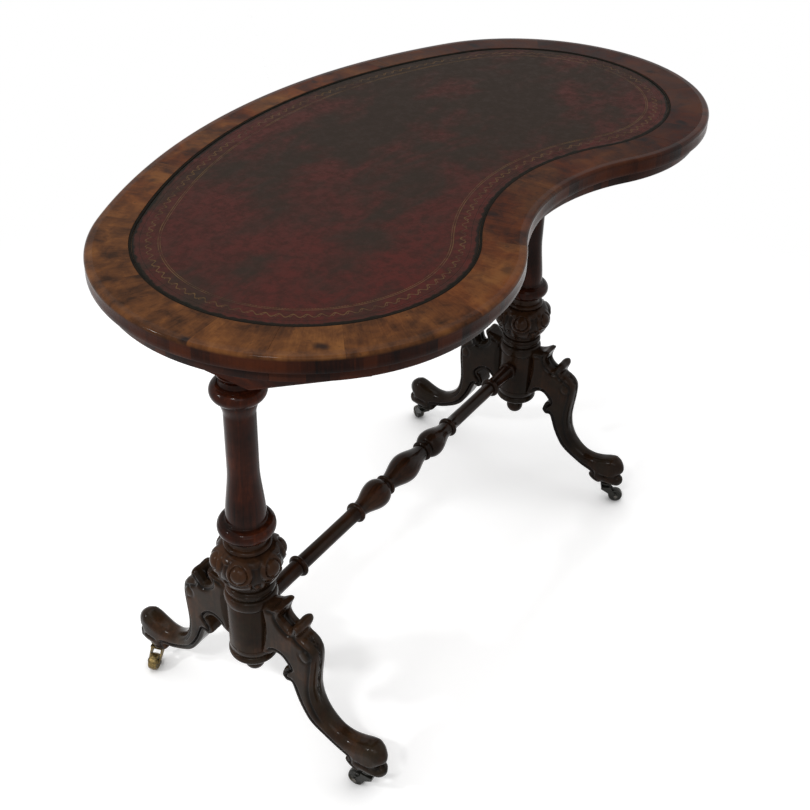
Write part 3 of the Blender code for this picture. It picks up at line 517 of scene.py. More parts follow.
@dataclass(frozen=True)
class TooledLeather:
    """Burgundy leather with a dark rim, gilt tooling near its edge and worn patches."""

    name: str
    rim: float = 0.0040
    scroll_at: float = 0.0168
    scroll_sway: float = 0.0027
    scroll_pitch: float = 0.0148
    line_at: float = 0.0268
    line_apart: float = 0.0011
    line_width: float = 0.00042
    dot_pitch: float = 0.0034
    burgundy: Colour = display(68, 34, 30)
    crimson: Colour = display(70, 32, 28)
    plum: Colour = display(50, 31, 27)
    moss: Colour = display(43, 37, 32)
    black_green: Colour = display(20, 22, 18)
    gilt: Colour = display(92, 70, 46)
    worn_x: float = 0.22
    worn_y: float = 0.10

    def line(self, shade: Shading, offset: Socket, width: float) -> Socket:
        """Thin line.

        Args:
            shade: The node tree.
            offset: Distance from the line's middle.
            width: Half of the line's width.

        Returns:
            1 on the line and 0 beside it.
        """
        return shade.step(shade.maths("ABSOLUTE", offset), width * 1.6, width * 0.5)

    def tooling(self, shade: Shading, along: Socket, inward: Socket) -> tuple[Socket, Socket]:
        """The gilt scroll and lines, and the blind lines beside them.

        Args:
            shade: The node tree.
            along: Distance along the edge.
            inward: Distance from the edge.

        Returns:
            Share of gilt, and depth of the impression.
        """
        turn = shade.times(along, TAU / self.scroll_pitch)
        sway = shade.times(shade.maths("SINE", turn), self.scroll_sway)
        from_scroll = shade.add(inward, -self.scroll_at)
        wave = self.line(shade, shade.maths("SUBTRACT", from_scroll, sway), self.line_width * 1.5)
        twice = shade.maths("SINE", shade.add(shade.times(turn, 2.0), 0.9))
        curl = shade.times(twice, self.scroll_sway * 0.8)
        leaf = self.line(shade, shade.add(from_scroll, curl), self.line_width * 1.2)
        leaf = shade.times(leaf, shade.step(shade.maths("SINE", shade.add(turn, 0.6)), 0.1, 0.6))
        dots = shade.maths("FRACT", shade.times(along, 1.0 / self.dot_pitch))
        dots = shade.step(shade.maths("ABSOLUTE", shade.add(dots, -0.5)), 0.44, 0.30)
        outer = self.line(shade, shade.add(inward, -self.line_at), self.line_width)
        second = self.line_at + self.line_apart * 2
        inner = self.line(shade, shade.add(inward, -second), self.line_width)
        marks = shade.highest(wave, leaf, outer, shade.times(inner, dots))
        blind = self.line(shade, shade.add(inward, -self.rim * 2), self.line_width)
        return marks, shade.highest(marks, blind)

    def build(self) -> bpy.types.Material:
        """Builds the material."""
        shade = Shading(self.name)
        along, inward = shade.chart("band")
        place = shade.point()
        x, y, _ = shade.axes(place)
        cloud = shade.noise(place, 8.5, 5.0, 0.60, 0.3)
        drawn = shade.vector("MULTIPLY", place, (7.0, 17.0, 1.0))
        brushed = shade.noise(drawn, 1.0, 5.0, 0.62, 0.8)
        fine = shade.noise(place, 95.0, 5.0, 0.7)
        away_x = shade.times(shade.add(x, -self.worn_x), 1.9)
        away_y = shade.times(shade.add(y, -self.worn_y), 3.2)
        away = shade.distance(away_x, away_y)
        patch = shade.weighed((brushed, 0.80), (cloud, 0.90))
        patch = shade.add(shade.step(away, 1.25, 0.10, 0.0, 0.26), patch)
        worn = shade.step(patch, 0.78, 1.12, 0.0, 0.92)
        red = shade.blend(shade.step(shade.add(y, shade.times(cloud, 0.16)), 0.10, -0.10),
                          self.burgundy, self.crimson)
        hide = shade.blend(shade.step(fine, 0.36, 0.66, 0.0, 0.80), red, self.plum)
        hide = shade.blend(worn, hide, self.moss)
        marks, pressed = self.tooling(shade, along, inward)
        wear = shade.step(shade.noise(place, 34.0, 4.0, 0.7), 0.36, 0.60, 0.18, 0.86)
        hide = shade.blend(shade.times(pressed, 0.35), hide, self.black_green)
        hide = shade.blend(shade.times(marks, wear), hide, self.gilt)
        wobble = shade.times(shade.add(shade.noise(place, 105.0, 4.0), -0.5), 0.0078)
        edge = shade.add(inward, wobble)
        rim = shade.step(edge, self.rim, self.rim * 0.45, 0.0, 0.9)
        hide = shade.blend(rim, hide, self.black_green)
        grain, _ = shade.cells(place, 760.0)
        shine = shade.step(shade.add(fine, shade.times(worn, 0.2)), 0.3, 0.8, 0.36, 0.56)
        shade.set(Base_Color=hide, Roughness=shine, Specular_IOR_Level=0.018)
        swollen = shade.step(edge, self.rim * 1.5, self.rim * 0.5)
        height = shade.weighed((grain, 0.16), (fine, 0.30), (pressed, -0.5), (swollen, 0.35))
        shade.relief(height, 0.0006, 0.7)
        return shade.material


@dataclass(frozen=True)
class Mottled:
    """Plain dull surface with cloudy colour: string, iron, softwood."""

    name: str
    first: Colour
    second: Colour
    stretch: Colour = (1.0, 1.0, 1.0)
    scale: float = 60.0
    rough_low: float = 0.4
    rough_high: float = 0.6
    metal: float = 0.0
    shine: float = 0.4
    depth: float = 0.0003

    def build(self) -> bpy.types.Material:
        """Builds the material."""
        shade = Shading(self.name)
        place = shade.vector("MULTIPLY", shade.point(), self.stretch)
        cloud = shade.noise(place, self.scale, 6.0, 0.64, 0.5)
        fine = shade.noise(place, self.scale * 6.0, 4.0, 0.7)
        tone = shade.weighed((cloud, 0.7), (fine, 0.3))
        colour = shade.ramp(tone, (0.38, self.first), (0.62, self.second))
        shade.set(Base_Color=colour, Metallic=self.metal, Specular_IOR_Level=self.shine,
                  Roughness=shade.step(fine, 0.3, 0.7, self.rough_low, self.rough_high))
        shade.relief(tone, self.depth, 0.5)
        return shade.material


@dataclass(frozen=True)
class AgedBrass:
    """Cast brass that is bright where it rubs and nearly black towards the front and the right end."""

    name: str
    bright: Colour = display(132, 112, 70)
    dull: Colour = display(78, 68, 46)
    black: Colour = display(30, 29, 25)

    def build(self) -> bpy.types.Material:
        """Builds the material."""
        shade = Shading(self.name)
        place = shade.point()
        cloud = shade.noise(place, 70.0, 5.0, 0.66)
        fine = shade.noise(place, 420.0, 4.0, 0.7)
        x, y, _ = shade.axes(place)
        # Darker, in patches, towards the front and the right end of the desk.
        front_right_dark = shade.step(shade.weighed((cloud, 1.0), (x, 0.42), (y, -1.0)), 0.12, 0.46)
        colour = shade.blend(shade.step(fine, 0.35, 0.65), self.dull, self.bright)
        colour = shade.blend(front_right_dark, colour, self.black)
        shade.set(Base_Color=colour, Metallic=shade.step(front_right_dark, 0.0, 1.0, 1.0, 0.55),
                  Roughness=shade.step(fine, 0.3, 0.7, 0.28, 0.52))
        shade.relief(shade.weighed((cloud, 1.0), (fine, 0.4)), 0.0003, 0.5)
        return shade.material


def linked(name: str, data: bpy.types.ID) -> bpy.types.Object:
    """Puts a mesh, a lamp or a camera in the scene as an object at the origin."""
    made = bpy.data.objects.new(name, data)
    bpy.context.scene.collection.objects.link(made)
    return made


def mesh_of(name: str, points: np.ndarray, faces: Sequence[Sequence[int]],
            sharp: float = 40.0) -> bpy.types.Mesh:
    """Mesh with smooth shading that breaks at sharp edges.

    Args:
        name: Name of the mesh.
        points: Rows of X, Y and Z.
        faces: Corner numbers of each face.
        sharp: Angle in degrees past which an edge stays sharp.

    Returns:
        The mesh.
    """
    mesh = bpy.data.meshes.new(name)
    mesh.from_pydata([tuple(p) for p in points], [], [tuple(f) for f in faces])
    mesh.validate()
    mesh.shade_smooth()
    mesh.set_sharp_from_angle(angle=math.radians(sharp))
    return mesh


def bridge(low: int, high: int, count: int) -> list[list[int]]:
    """Faces between two closed rings of as many vertices.

    Args:
        low: Number of one ring's first vertex.
        high: Number of the other's.
        count: Vertices in a ring.

    Returns:
        Corner numbers of each face.
    """
    around = zip(range(count), [*range(1, count), 0])
    return [[low + k, high + k, high + j, low + j] for k, j in around]


def set_chart(mesh: bpy.types.Mesh, chart: Callable[[int, int], Pair]) -> None:
    """Gives a mesh the UV map "band".

    Args:
        mesh: The mesh.
        chart: Gives the two coordinates for a face number and a vertex number.
    """
    layer = mesh.uv_layers.new(name="band")
    for face in mesh.polygons:
        for corner in face.loop_indices:
            layer.data[corner].uv = chart(face.index, mesh.loops[corner].vertex_index)


def set_relief(mesh: bpy.types.Mesh, relief: np.ndarray) -> None:
    """Stores how hollow (below 0) or raised (above 0) each vertex is, which the walnut finish turns into
    painted shade and a painted highlight.
    """
    layer = mesh.attributes.new("relief", "FLOAT", "POINT")
    layer.data.foreach_set("value", np.asarray(relief, np.float32))


def piece(mesh: bpy.types.Mesh, finish: bpy.types.Material, slot: Slot, *nodes: str,
          body: str = BODY) -> None:
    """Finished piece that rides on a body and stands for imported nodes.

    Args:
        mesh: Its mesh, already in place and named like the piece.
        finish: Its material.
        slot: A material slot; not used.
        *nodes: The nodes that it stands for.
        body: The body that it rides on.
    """
    mesh.materials.clear()
    mesh.materials.append(finish)
    spots = np.empty(len(mesh.vertices) * 3)
    mesh.vertices.foreach_get("co", spots)
    mesh.vertices.foreach_set("co", np.clip(spots.reshape(-1, 3), CAD_LOW, CAD_HIGH).ravel())
    made = linked(mesh.name, mesh)
    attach(made, body)
    if nodes:
        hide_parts(*nodes)
    LOG.info("%s: %d faces", mesh.name, len(mesh.polygons))


def turned(name: str, radii: np.ndarray, heights: Sequence[float], relief: np.ndarray,
           place: Matrix, sharp: float) -> bpy.types.Mesh:
    """Solid round an axis, whose radius may change on the way round.

    Args:
        name: Name of the mesh.
        radii: A row of radii for each height, of zeros for a point on the axis.
        heights: Height of each row.
        relief: How hollow or raised each place is, in the same rows.
        place: Where the shape goes.
        sharp: Angle in degrees past which an edge stays sharp.

    Returns:
        The mesh.
    """
    steps = radii.shape[1]
    turns = np.arange(steps) * TAU / steps
    points, marks, rows = [], [], []
    for ring, height, values in zip(radii, heights, relief):
        size = steps if ring[0] > HAIR else 1
        rows.append([len(points) + k % size for k in range(steps)])
        spots = np.stack([ring * np.cos(turns), ring * np.sin(turns), np.full(steps, height)], 1)
        points.extend(spots[:size] if size > 1 else [(0.0, 0.0, height)])
        marks.extend(values[:size])
    if radii[0, 0] > HAIR and radii[-1, 0] > HAIR:
        rows.append(rows[0])
    faces = []
    for high, low in zip(rows, rows[1:]):
        for k in range(steps):
            faces.append(list(dict.fromkeys([high[k - 1], low[k - 1], low[k], high[k]])))
    mesh = mesh_of(name, np.array(points), faces, sharp)
    mesh.transform(place)
    set_relief(mesh, np.array(marks))
    return mesh


def lathe(name: str, profile: Sequence[Pair], steps: int, place: Matrix) -> bpy.types.Mesh:
    """Turned solid with a relief attribute that marks its hollows for painted shade.

    Args:
        name: Name of the mesh.
        profile: Pairs of radius and height, a closed outline or one that ends on the axis.
        steps: Number of steps round the axis.
        place: Where the turned shape goes.

    Returns:
        The mesh.
    """
    outline = np.array(profile, float)
    radii, relief = (np.repeat(v[:, None], steps, 1) for v in (outline[:, 0], hollow_depth(outline)))
    return turned(name, radii, outline[:, 1], relief, place, 50.0)


def hollow_depth(outline: np.ndarray, reach: float = 0.009, full: float = 0.006) -> np.ndarray:
    """How deep each point of a turned outline lies below its neighbours.

    Args:
        outline: Rows of radius and height.
        reach: How far away a neighbour may be.
        full: Depth that counts as fully hollow.

    Returns:
        Values from -1 for a deep hollow to 0.
    """
    apart = np.abs(outline[:, None, 1] - outline[None, :, 1])
    weight = np.clip(1.0 - apart / reach, 0, 1)
    higher = (outline[None, :, 0] - outline[:, None, 0]) * weight
    return -np.clip(higher.max(1) / full, 0, 1)


def swell(start: Pair, end: Pair, steps: int = 12) -> list[Pair]:
    """Points between two places on an S curve, without the places themselves."""
    share = np.arange(1, steps) / steps
    (near, low), (far, high) = start, end
    return list(zip(near + (far - near) * ease(share, 0, 1), low + (high - low) * share))


def ribbed(radius: float, root: float, middle: float, height: float, lines: Sequence[float] = (),
           depth: float = 0.0005, steps: int = 44) -> list[Pair]:
    """Half round moulding with fine turned lines, or a groove where the radius is below the root.

    Args:
        radius: Radius at its middle.
        root: Radius at its edges.
        middle: Height of its middle.
        height: Its height.
        lines: Where the lines are, as shares of the half turn.
        depth: Depth of the lines.
        steps: Steps over the half turn.

    Returns:
        Pairs from top to bottom.
    """
    made = []
    for share in np.linspace(0, 1, steps + 1):
        cut = sum(depth * math.exp(-(((share - line) / 0.022) ** 2)) for line in lines)
        turn = math.pi * share
        out = (radius - root - cut) * math.sin(turn)
        made.append((root + out, middle + height / 2 * math.cos(turn)))
    return made


def outwards(profile: Sequence[Pair]) -> list[Pair]:
    """Moulding given from top to bottom, turned to run outwards."""
    middle = (profile[0][1] + profile[-1][1]) / 2
    return [(radius, 2 * middle - along) for radius, along in profile]


def mirrored(half: Sequence[Pair]) -> list[Pair]:
    """Profile whose second half mirrors the first one, which ends in the middle."""
    return [*half, *((radius, -along) for radius, along in reversed(half) if along)]


@dataclass(frozen=True)
class Kidney:
    """A kidney outline drawn with four tangent arcs."""

    lobe_x: float
    lobe_y: float
    radius: float
    back_y: float
    front_y: float
    lobe_steps: int = 156
    back_steps: int = 96
    front_steps: int = 24

    def tangent_centre(self, reach: float) -> float:
        """Height on the centre line from which an arc touches both lobes."""
        square = reach ** 2 - self.lobe_x ** 2 - self.lobe_y ** 2
        return square / (2 * (reach - self.lobe_y))

    def outline(self, inset: float = 0.0) -> np.ndarray:
        """Outline moved inwards.

        Args:
            inset: How far it moves.

        Returns:
            Rows of X and Y from the middle of the kneehole and to the right.
        """
        back_centre = self.tangent_centre(self.back_y - self.radius)
        front_centre = self.tangent_centre(self.front_y + self.radius)
        back_turn = math.atan2(self.lobe_y - back_centre, self.lobe_x)
        front_turn = math.atan2(self.lobe_y - front_centre, self.lobe_x)
        quarter = math.pi / 2
        half_back = self.back_steps // 2
        arcs = (
            (0.0, front_centre, self.front_y - front_centre + inset, quarter, front_turn,
             self.front_steps, 0),
            (self.lobe_x, self.lobe_y, self.radius - inset, front_turn - math.pi, back_turn,
             self.lobe_steps, 0),
            (0.0, back_centre, self.back_y - back_centre - inset, back_turn, quarter, half_back, 1),
        )
        half = []
        for x, y, radius, start, end, steps, last in arcs:
            turns = start + (end - start) * np.arange(steps + last) / steps
            half.append(np.stack([x + radius * np.cos(turns), y + radius * np.sin(turns)], 1))
        right = np.concatenate(half)
        left = right[1:-1][::-1] * (-1, 1)
        return np.concatenate([right, left])


def lengths(outline: np.ndarray) -> np.ndarray:
    """Distance along a closed outline at each point, with the whole length as one more."""
    steps = np.linalg.norm(np.roll(outline, -1, 0) - outline, axis=1)
    return np.concatenate([[0.0], np.cumsum(steps)])


@dataclass(frozen=True)
class Sweep:
    """Geometry nodes that carry a section along a path and chart it with "band"."""

    name: str = "sweep"

    def tree(self) -> tuple[bpy.types.NodeTree, dict[str, str]]:
        """Builds the tree.

        Returns:
            The tree, and the identifier of each named input.
        """
        tree = bpy.data.node_groups.new(self.name, "GeometryNodeTree")
        face = tree.interface
        ids = {}
        for label, kind in (("Path", "Geometry"), ("Section", "Object"), ("Finish", "Material"),
                            ("Capped", "Bool")):
            made = face.new_socket(name=label, in_out="INPUT", socket_type="NodeSocket" + kind)
            ids[label] = made.identifier
        face.new_socket(name="Band", in_out="OUTPUT", socket_type="NodeSocketGeometry")
        link = tree.links.new
        given = tree.nodes.new("NodeGroupInput")

        def add(kind: str) -> bpy.types.Node:
            """Adds a geometry node."""
            return tree.nodes.new("GeometryNode" + kind)

        def measured(source: Socket, label: str) -> bpy.types.Node:
            """Curve of a mesh line that remembers the distance along it."""
            curve = add("MeshToCurve")
            link(source, curve.inputs[0])
            upright = add("SetCurveNormal")
            upright.mode = "Z_UP"
            link(curve.outputs[0], upright.inputs[0])
            caught = add("CaptureAttribute")
            caught.capture_items.new("FLOAT", label)
            link(upright.outputs[0], caught.inputs[0])
            link(add("SplineParameter").outputs["Length"], caught.inputs[1])
            return caught

        section = add("ObjectInfo")
        link(given.outputs["Section"], section.inputs[0])
        path = measured(given.outputs["Path"], "along")
        around = measured(section.outputs["Geometry"], "around")
        skin = add("CurveToMesh")
        link(path.outputs[0], skin.inputs["Curve"])
        link(around.outputs[0], skin.inputs["Profile Curve"])
        link(given.outputs["Capped"], skin.inputs["Fill Caps"])
        pair = tree.nodes.new("ShaderNodeCombineXYZ")
        link(path.outputs[1], pair.inputs[0])
        link(around.outputs[1], pair.inputs[1])
        chart = add("StoreNamedAttribute")
        chart.data_type = "FLOAT2"
        chart.domain = "CORNER"
        chart.inputs["Name"].default_value = "band"
        link(skin.outputs[0], chart.inputs[0])
        link(pair.outputs[0], chart.inputs["Value"])
        whole = add("RealizeInstances")
        link(chart.outputs[0], whole.inputs[0])
        dressed = add("SetMaterial")
        link(whole.outputs[0], dressed.inputs[0])
        link(given.outputs["Finish"], dressed.inputs["Material"])
        link(dressed.outputs[0], tree.nodes.new("NodeGroupOutput").inputs[0])
        return tree, ids


def line_mesh(name: str, points: np.ndarray, closed: bool) -> bpy.types.Mesh:
    """Mesh of edges through points.

    Args:
        name: Name of the mesh.
        points: Rows of X, Y and Z.
        closed: Whether the last point joins the first.

    Returns:
        The mesh.
    """
    count = len(points)
    edges = [(k, k + 1) for k in range(count - 1)]
    if closed:
        edges.append((count - 1, 0))
    mesh = bpy.data.meshes.new(name)
    mesh.from_pydata([tuple(p) for p in points], edges, [])
    return mesh


def evaluated(host: bpy.types.Object, tree: bpy.types.NodeTree,
              values: dict[str, object]) -> bpy.types.Mesh:
    """Plain mesh that a geometry nodes tree makes of an object.

    Args:
        host: The object that carries the modifier.
        tree: The tree.
        values: Value of each input, by its identifier.

    Returns:
        The mesh.
    """
    change = host.modifiers.new(tree.name, "NODES")
    change.node_group = tree
    for key, value in values.items():
        change[key] = value
    view = bpy.context.evaluated_depsgraph_get()
    mesh = bpy.data.meshes.new_from_object(host.evaluated_get(view))
    host.modifiers.clear()
    return mesh


def swept(name: str, path: np.ndarray, height: float, section: Sequence[Pair],
          finish: bpy.types.Material, closed: bool) -> bpy.types.Mesh:
    """Moulding that follows a flat path.

    Args:
        name: Name of the mesh.
        path: Rows of X and Y, going round to the left.
        height: Height of the path.
        section: Pairs of distance outwards and downwards.
        finish: Material of the moulding.
        closed: Whether the path is a ring.

    Returns:
        The mesh.
    """
    tree, ids = Sweep().tree()
    rails = np.column_stack([path, np.full(len(path), height)])
    host = linked(name + "_path", line_mesh(name + "_path", rails, closed))
    flat = np.column_stack([np.array(section), np.zeros(len(section))])
    shape = linked(name + "_section", line_mesh(name + "_section", flat, True))
    values = {ids["Section"]: shape, ids["Finish"]: finish, ids["Capped"]: not closed}
    mesh = evaluated(host, tree, values)
    mesh.name = name
    mesh.shade_smooth()
    mesh.set_sharp_from_angle(angle=math.radians(35.0))
    for spare in (host, shape):
        bpy.data.objects.remove(spare, do_unlink=True)
    bpy.data.node_groups.remove(tree)
    return mesh


def slab(name: str, top: np.ndarray, drop: float) -> bpy.types.Mesh:
    """Closed solid under a grid of points.

    Args:
        name: Name of the mesh.
        top: Grid of points, rows along the first axis.
        drop: Thickness.

    Returns:
        The mesh. Its first vertices are the grid's, row by row.
    """
    rows, columns = top.shape[:2]
    under = top - (0.0, 0.0, drop)
    points = np.concatenate([top.reshape(-1, 3), under.reshape(-1, 3)])
    shift = rows * columns

    def spot(row: int, column: int, low: int = 0) -> int:
        """Number of a vertex."""
        return row * columns + column + low * shift

    faces = []
    for r in range(rows - 1):
        for c in range(columns - 1):
            square = [(r, c), (r + 1, c), (r + 1, c + 1), (r, c + 1)]
            faces.append([spot(*s) for s in square])
            faces.append([spot(*s, 1) for s in reversed(square)])
    rim = [(r, 0) for r in range(rows)] + [(rows - 1, c) for c in range(1, columns)]
    rim += [(r, columns - 1) for r in range(rows - 2, -1, -1)]
    rim += [(0, c) for c in range(columns - 2, 0, -1)]
    for here, there in zip(rim, rim[1:] + rim[:1]):
        faces.append([spot(*there), spot(*here), spot(*here, 1), spot(*there, 1)])
    return mesh_of(name, points, faces)


def inside(points: np.ndarray, outline: np.ndarray) -> np.ndarray:
    """Whether points lie inside a closed outline.

    Args:
        points: Rows of X and Y.
        outline: Rows of X and Y.

    Returns:
        True or False for each point.
    """
    x, y = points[:, 0, None], points[:, 1, None]
    here, there = outline, np.roll(outline, -1, 0)
    crosses = (here[:, 1] > y) != (there[:, 1] > y)
    slope = (there[:, 0] - here[:, 0]) / (there[:, 1] - here[:, 1] + 1e-15)
    hits = crosses & (x < here[:, 0] + slope * (y - here[:, 1]))
    return hits.sum(1) % 2 == 1


def nearest(points: np.ndarray, outline: np.ndarray, closed: bool = True) -> np.ndarray:
    """Distance from each point to an outline.

    Args:
        points: Rows of X and Y.
        outline: Rows of X and Y.
        closed: Whether the outline's last point joins its first.

    Returns:
        The distances.
    """
    start = outline if closed else outline[:-1]
    way = (np.roll(outline, -1, 0) - outline)[:len(start)]
    square = (way ** 2).sum(1) + 1e-15
    found = []
    for low in range(0, len(points), BATCH):
        batch = points[low:low + BATCH, None] - start[None]
        share = np.clip((batch * way[None]).sum(2) / square[None], 0, 1)
        found.append(np.linalg.norm(batch - share[..., None] * way[None], axis=2).min(1))
    return np.concatenate(found) if found else np.empty(0)


def filled(points: np.ndarray, extra: np.ndarray) -> tuple[np.ndarray, list[list[int]]]:
    """Triangles inside a closed outline.

    Args:
        points: Rows of X and Y round the outline.
        extra: More points inside it.

    Returns:
        All points, the outline's first, and the triangles.
    """
    count = len(points)
    every = [Vector(p) for p in np.concatenate([points, extra])]
    edges = [(k, (k + 1) % count) for k in range(count)]
    found = geometry.delaunay_2d_cdt(every, edges, [], 1, 1e-7, True)
    spots = np.array([tuple(v) for v in found[0]])
    source = [min(o) if o else -1 for o in found[3]]
    order = {}
    kept = list(np.concatenate([points, extra]))
    for index, origin in enumerate(source):
        if origin >= 0:
            order[index] = origin
        else:
            order[index] = len(kept)
            kept.append(spots[index])
    kept = np.array(kept)
    faces = [[order[k] for k in face] for face in found[2]]
    middles = np.array([kept[face].mean(0) for face in faces])
    within = inside(middles, points)
    return kept, [face for face, fair in zip(faces, within) if fair]


def oriented(points: np.ndarray, faces: list[list[int]]) -> list[list[int]]:
    """Faces of a flat patch turned to look along -Y.

    Args:
        points: Rows of X, Y and Z.
        faces: Corner numbers.

    Returns:
        The faces, each in the right order.
    """
    made = []
    for face in faces:
        a, b, c = points[face[0]], points[face[1]], points[face[2]]
        area = (b[0] - a[0]) * (c[2] - a[2]) - (b[2] - a[2]) * (c[0] - a[0])
        made.append(face if area > 0 else face[::-1])
    return made


def shortened(chain: np.ndarray) -> np.ndarray:
    """Chain of points whose two ends draw in by half a hair."""
    made = chain.copy()
    for end, beside in ((0, 1), (-1, -2)):
        way = made[beside] - made[end]
        made[end] += way / np.linalg.norm(way) * HAIR / 2
    return made


@dataclass(frozen=True)
class Top:
    """Kidney top with its veneered edge, crossbands, string, leather and friezes."""

    height: float = 0.702
    thickness: float = 0.019
    veneer: float = 0.0015
    veneer_columns: int = 9
    string: float = 0.003
    string_drop: float = 0.0002
    string_arris: float = 0.0004
    hide: float = 0.0009
    hide_grid: float = 0.012
    hide_insets: tuple[float, ...] = (
        0.0, 0.0006, 0.0015, 0.003, 0.006, 0.010, 0.015, 0.020, 0.026, 0.032, 0.038, 0.045,
    )
    field_gap: float = 0.006
    field_inset: float = 0.06
    hide_drops: tuple[float, ...] = (0.00060, 0.00022, 0.00008, 0.00012, 0.00004)
    ring_wave: float = 0.00008
    field_wave: float = 0.0001
    moulding: float = 0.009
    arris: float = 0.004
    arris_steps: int = 8
    lower_arris: float = 0.0015
    face_top: float = 0.0062
    face_bend: float = 0.0128
    face_lean: float = 0.00035
    frieze_inset: float = 0.011
    frieze_thickness: float = 0.020
    frieze_height: float = 0.016
    frieze_arris: float = 0.0012
    fine: int = 6
    shape: Kidney = Kidney(0.248, -0.0295, 0.231, 0.2605, -0.1935)
    recess: Kidney = Kidney(0.2455, -0.026, 0.182, 0.2205, -0.139)
    stretches: tuple[tuple[str, int, int], ...] = (
        ("kneehole", -7, 7), ("front_right", 7, 17), ("end_right", 17, 33),
        ("back", 33, 43), ("end_left", 43, 59), ("front_left", 59, 69),
    )

    def stretch(self, inset: float, first: int, last: int) -> tuple[np.ndarray, np.ndarray]:
        """Part of the outline with a hair of space at both ends.

        Args:
            inset: How far the outline moves inwards.
            first: Number of its first coarse point.
            last: Number of its last coarse point.

        Returns:
            The points, and their distances along the whole outline.
        """
        whole = self.shape.outline(inset)
        along = lengths(self.shape.outline(self.moulding))
        count = len(whole)
        numbers = np.arange(first * self.fine, last * self.fine + 1)
        spots = numbers % count
        return shortened(whole[spots]), along[:-1][spots] + along[-1] * (numbers // count)

    def squared(self, inset: float, first: int, last: int) -> np.ndarray:
        """Path of a rail whose ends are cut square to the curve.

        Args:
            inset: How far the outline moves inwards.
            first: Number of its first coarse point.
            last: Number of its last coarse point.

        Returns:
            The points.
        """
        whole = self.shape.outline(inset)
        path, _ = self.stretch(inset, first, last)
        second, last_but_one = (
            path[end] + sense * (whole[(k + 1) % len(whole)] - whole[(k - 1) % len(whole)]) * 0.02
            for end, k, sense in ((0, first * self.fine, 1), (-1, last * self.fine, -1))
        )
        return np.concatenate([path[:1], [second], path[1:-1], [last_but_one], path[-1:]])

    def edge(self, finish: bpy.types.Material) -> None:
        """Builds the moulding round the edge."""
        outer, low = self.moulding, self.thickness
        section = [
            (0.0, 0.0), (0.0, low), (outer - self.lower_arris, low),
            (outer - self.lower_arris * 0.3, low - self.lower_arris * 0.3),
            (outer, low - self.lower_arris), (outer, low - self.face_top),
            (outer - self.face_lean, low - self.face_bend),
        ]
        for turn in np.linspace(0.0, math.pi / 2, self.arris_steps):
            back, down = self.arris * (1 - math.cos(turn)), self.arris * (1 - math.sin(turn))
            section.append((outer - back, down))
        path = self.shape.outline(self.moulding)
        mesh = swept("edge_skin", path, self.height, section, finish, True)
        piece(mesh, finish, Slot.BURR, "edge_moulding")

    def friezes(self, finish: bpy.types.Material) -> None:
        """Builds the six rails under the top's edge."""
        depth, wide, soft = self.frieze_height, self.frieze_thickness, self.frieze_arris
        section = [(0.0, 0.0), (0.0, depth), (wide - soft, depth),
                   (wide - soft * 0.3, depth - soft * 0.3), (wide, depth - soft), (wide, 0.0)]
        high = self.height - self.thickness - HAIR
        for name, first, last in self.stretches:
            path = self.squared(self.frieze_inset + self.frieze_thickness, first, last)
            mesh = swept("frieze_skin_" + name, path, high, section, finish, False)
            piece(mesh, finish, Slot.FRIEZE, "frieze_" + name)

    def crossbands(self, finish: bpy.types.Material) -> None:
        """Builds the veneer round the leather, a strip at a time."""
        inner_line = self.recess.outline(-self.string - HAIR)
        count = len(inner_line)
        across = np.linspace(0, 1, self.veneer_columns)
        for name, first, last in self.stretches:
            outer, along = self.stretch(self.moulding, first, last)
            numbers = np.arange(first * self.fine, last * self.fine + 1)
            inner = shortened(inner_line[numbers % count])
            flat = outer[:, None] + (inner - outer)[:, None] * across[None, :, None]
            grid = np.concatenate([flat, np.full(flat.shape[:2] + (1,), self.height)], 2)
            mesh = slab("crossband_skin_" + name, grid, self.veneer)
            wide = np.linalg.norm(inner - outer, axis=1)
            runs = np.repeat(along[:, None], self.veneer_columns, 1)
            chart = np.stack([runs, wide[:, None] * across[None]], 2).reshape(-1, 2)
            set_chart(mesh, lambda face, vertex: tuple(chart[vertex % len(chart)]))
            piece(mesh, finish, Slot.BURR, "crossband_" + name)

    def stringing(self, finish: bpy.types.Material) -> None:
        """Builds the dark string between veneer and leather."""
        high, soft = self.veneer - self.string_drop, self.string_arris
        section = [(0.0, soft), (0.0, high), (self.string, high), (self.string, soft * 0.5),
                   (self.string * 0.6, 0.0), (self.string * 0.3, 0.0)]
        level = self.height - self.string_drop
        mesh = swept("string_skin", self.recess.outline(), level, section, finish, True)
        piece(mesh, finish, Slot.STRING, "string_inlay")

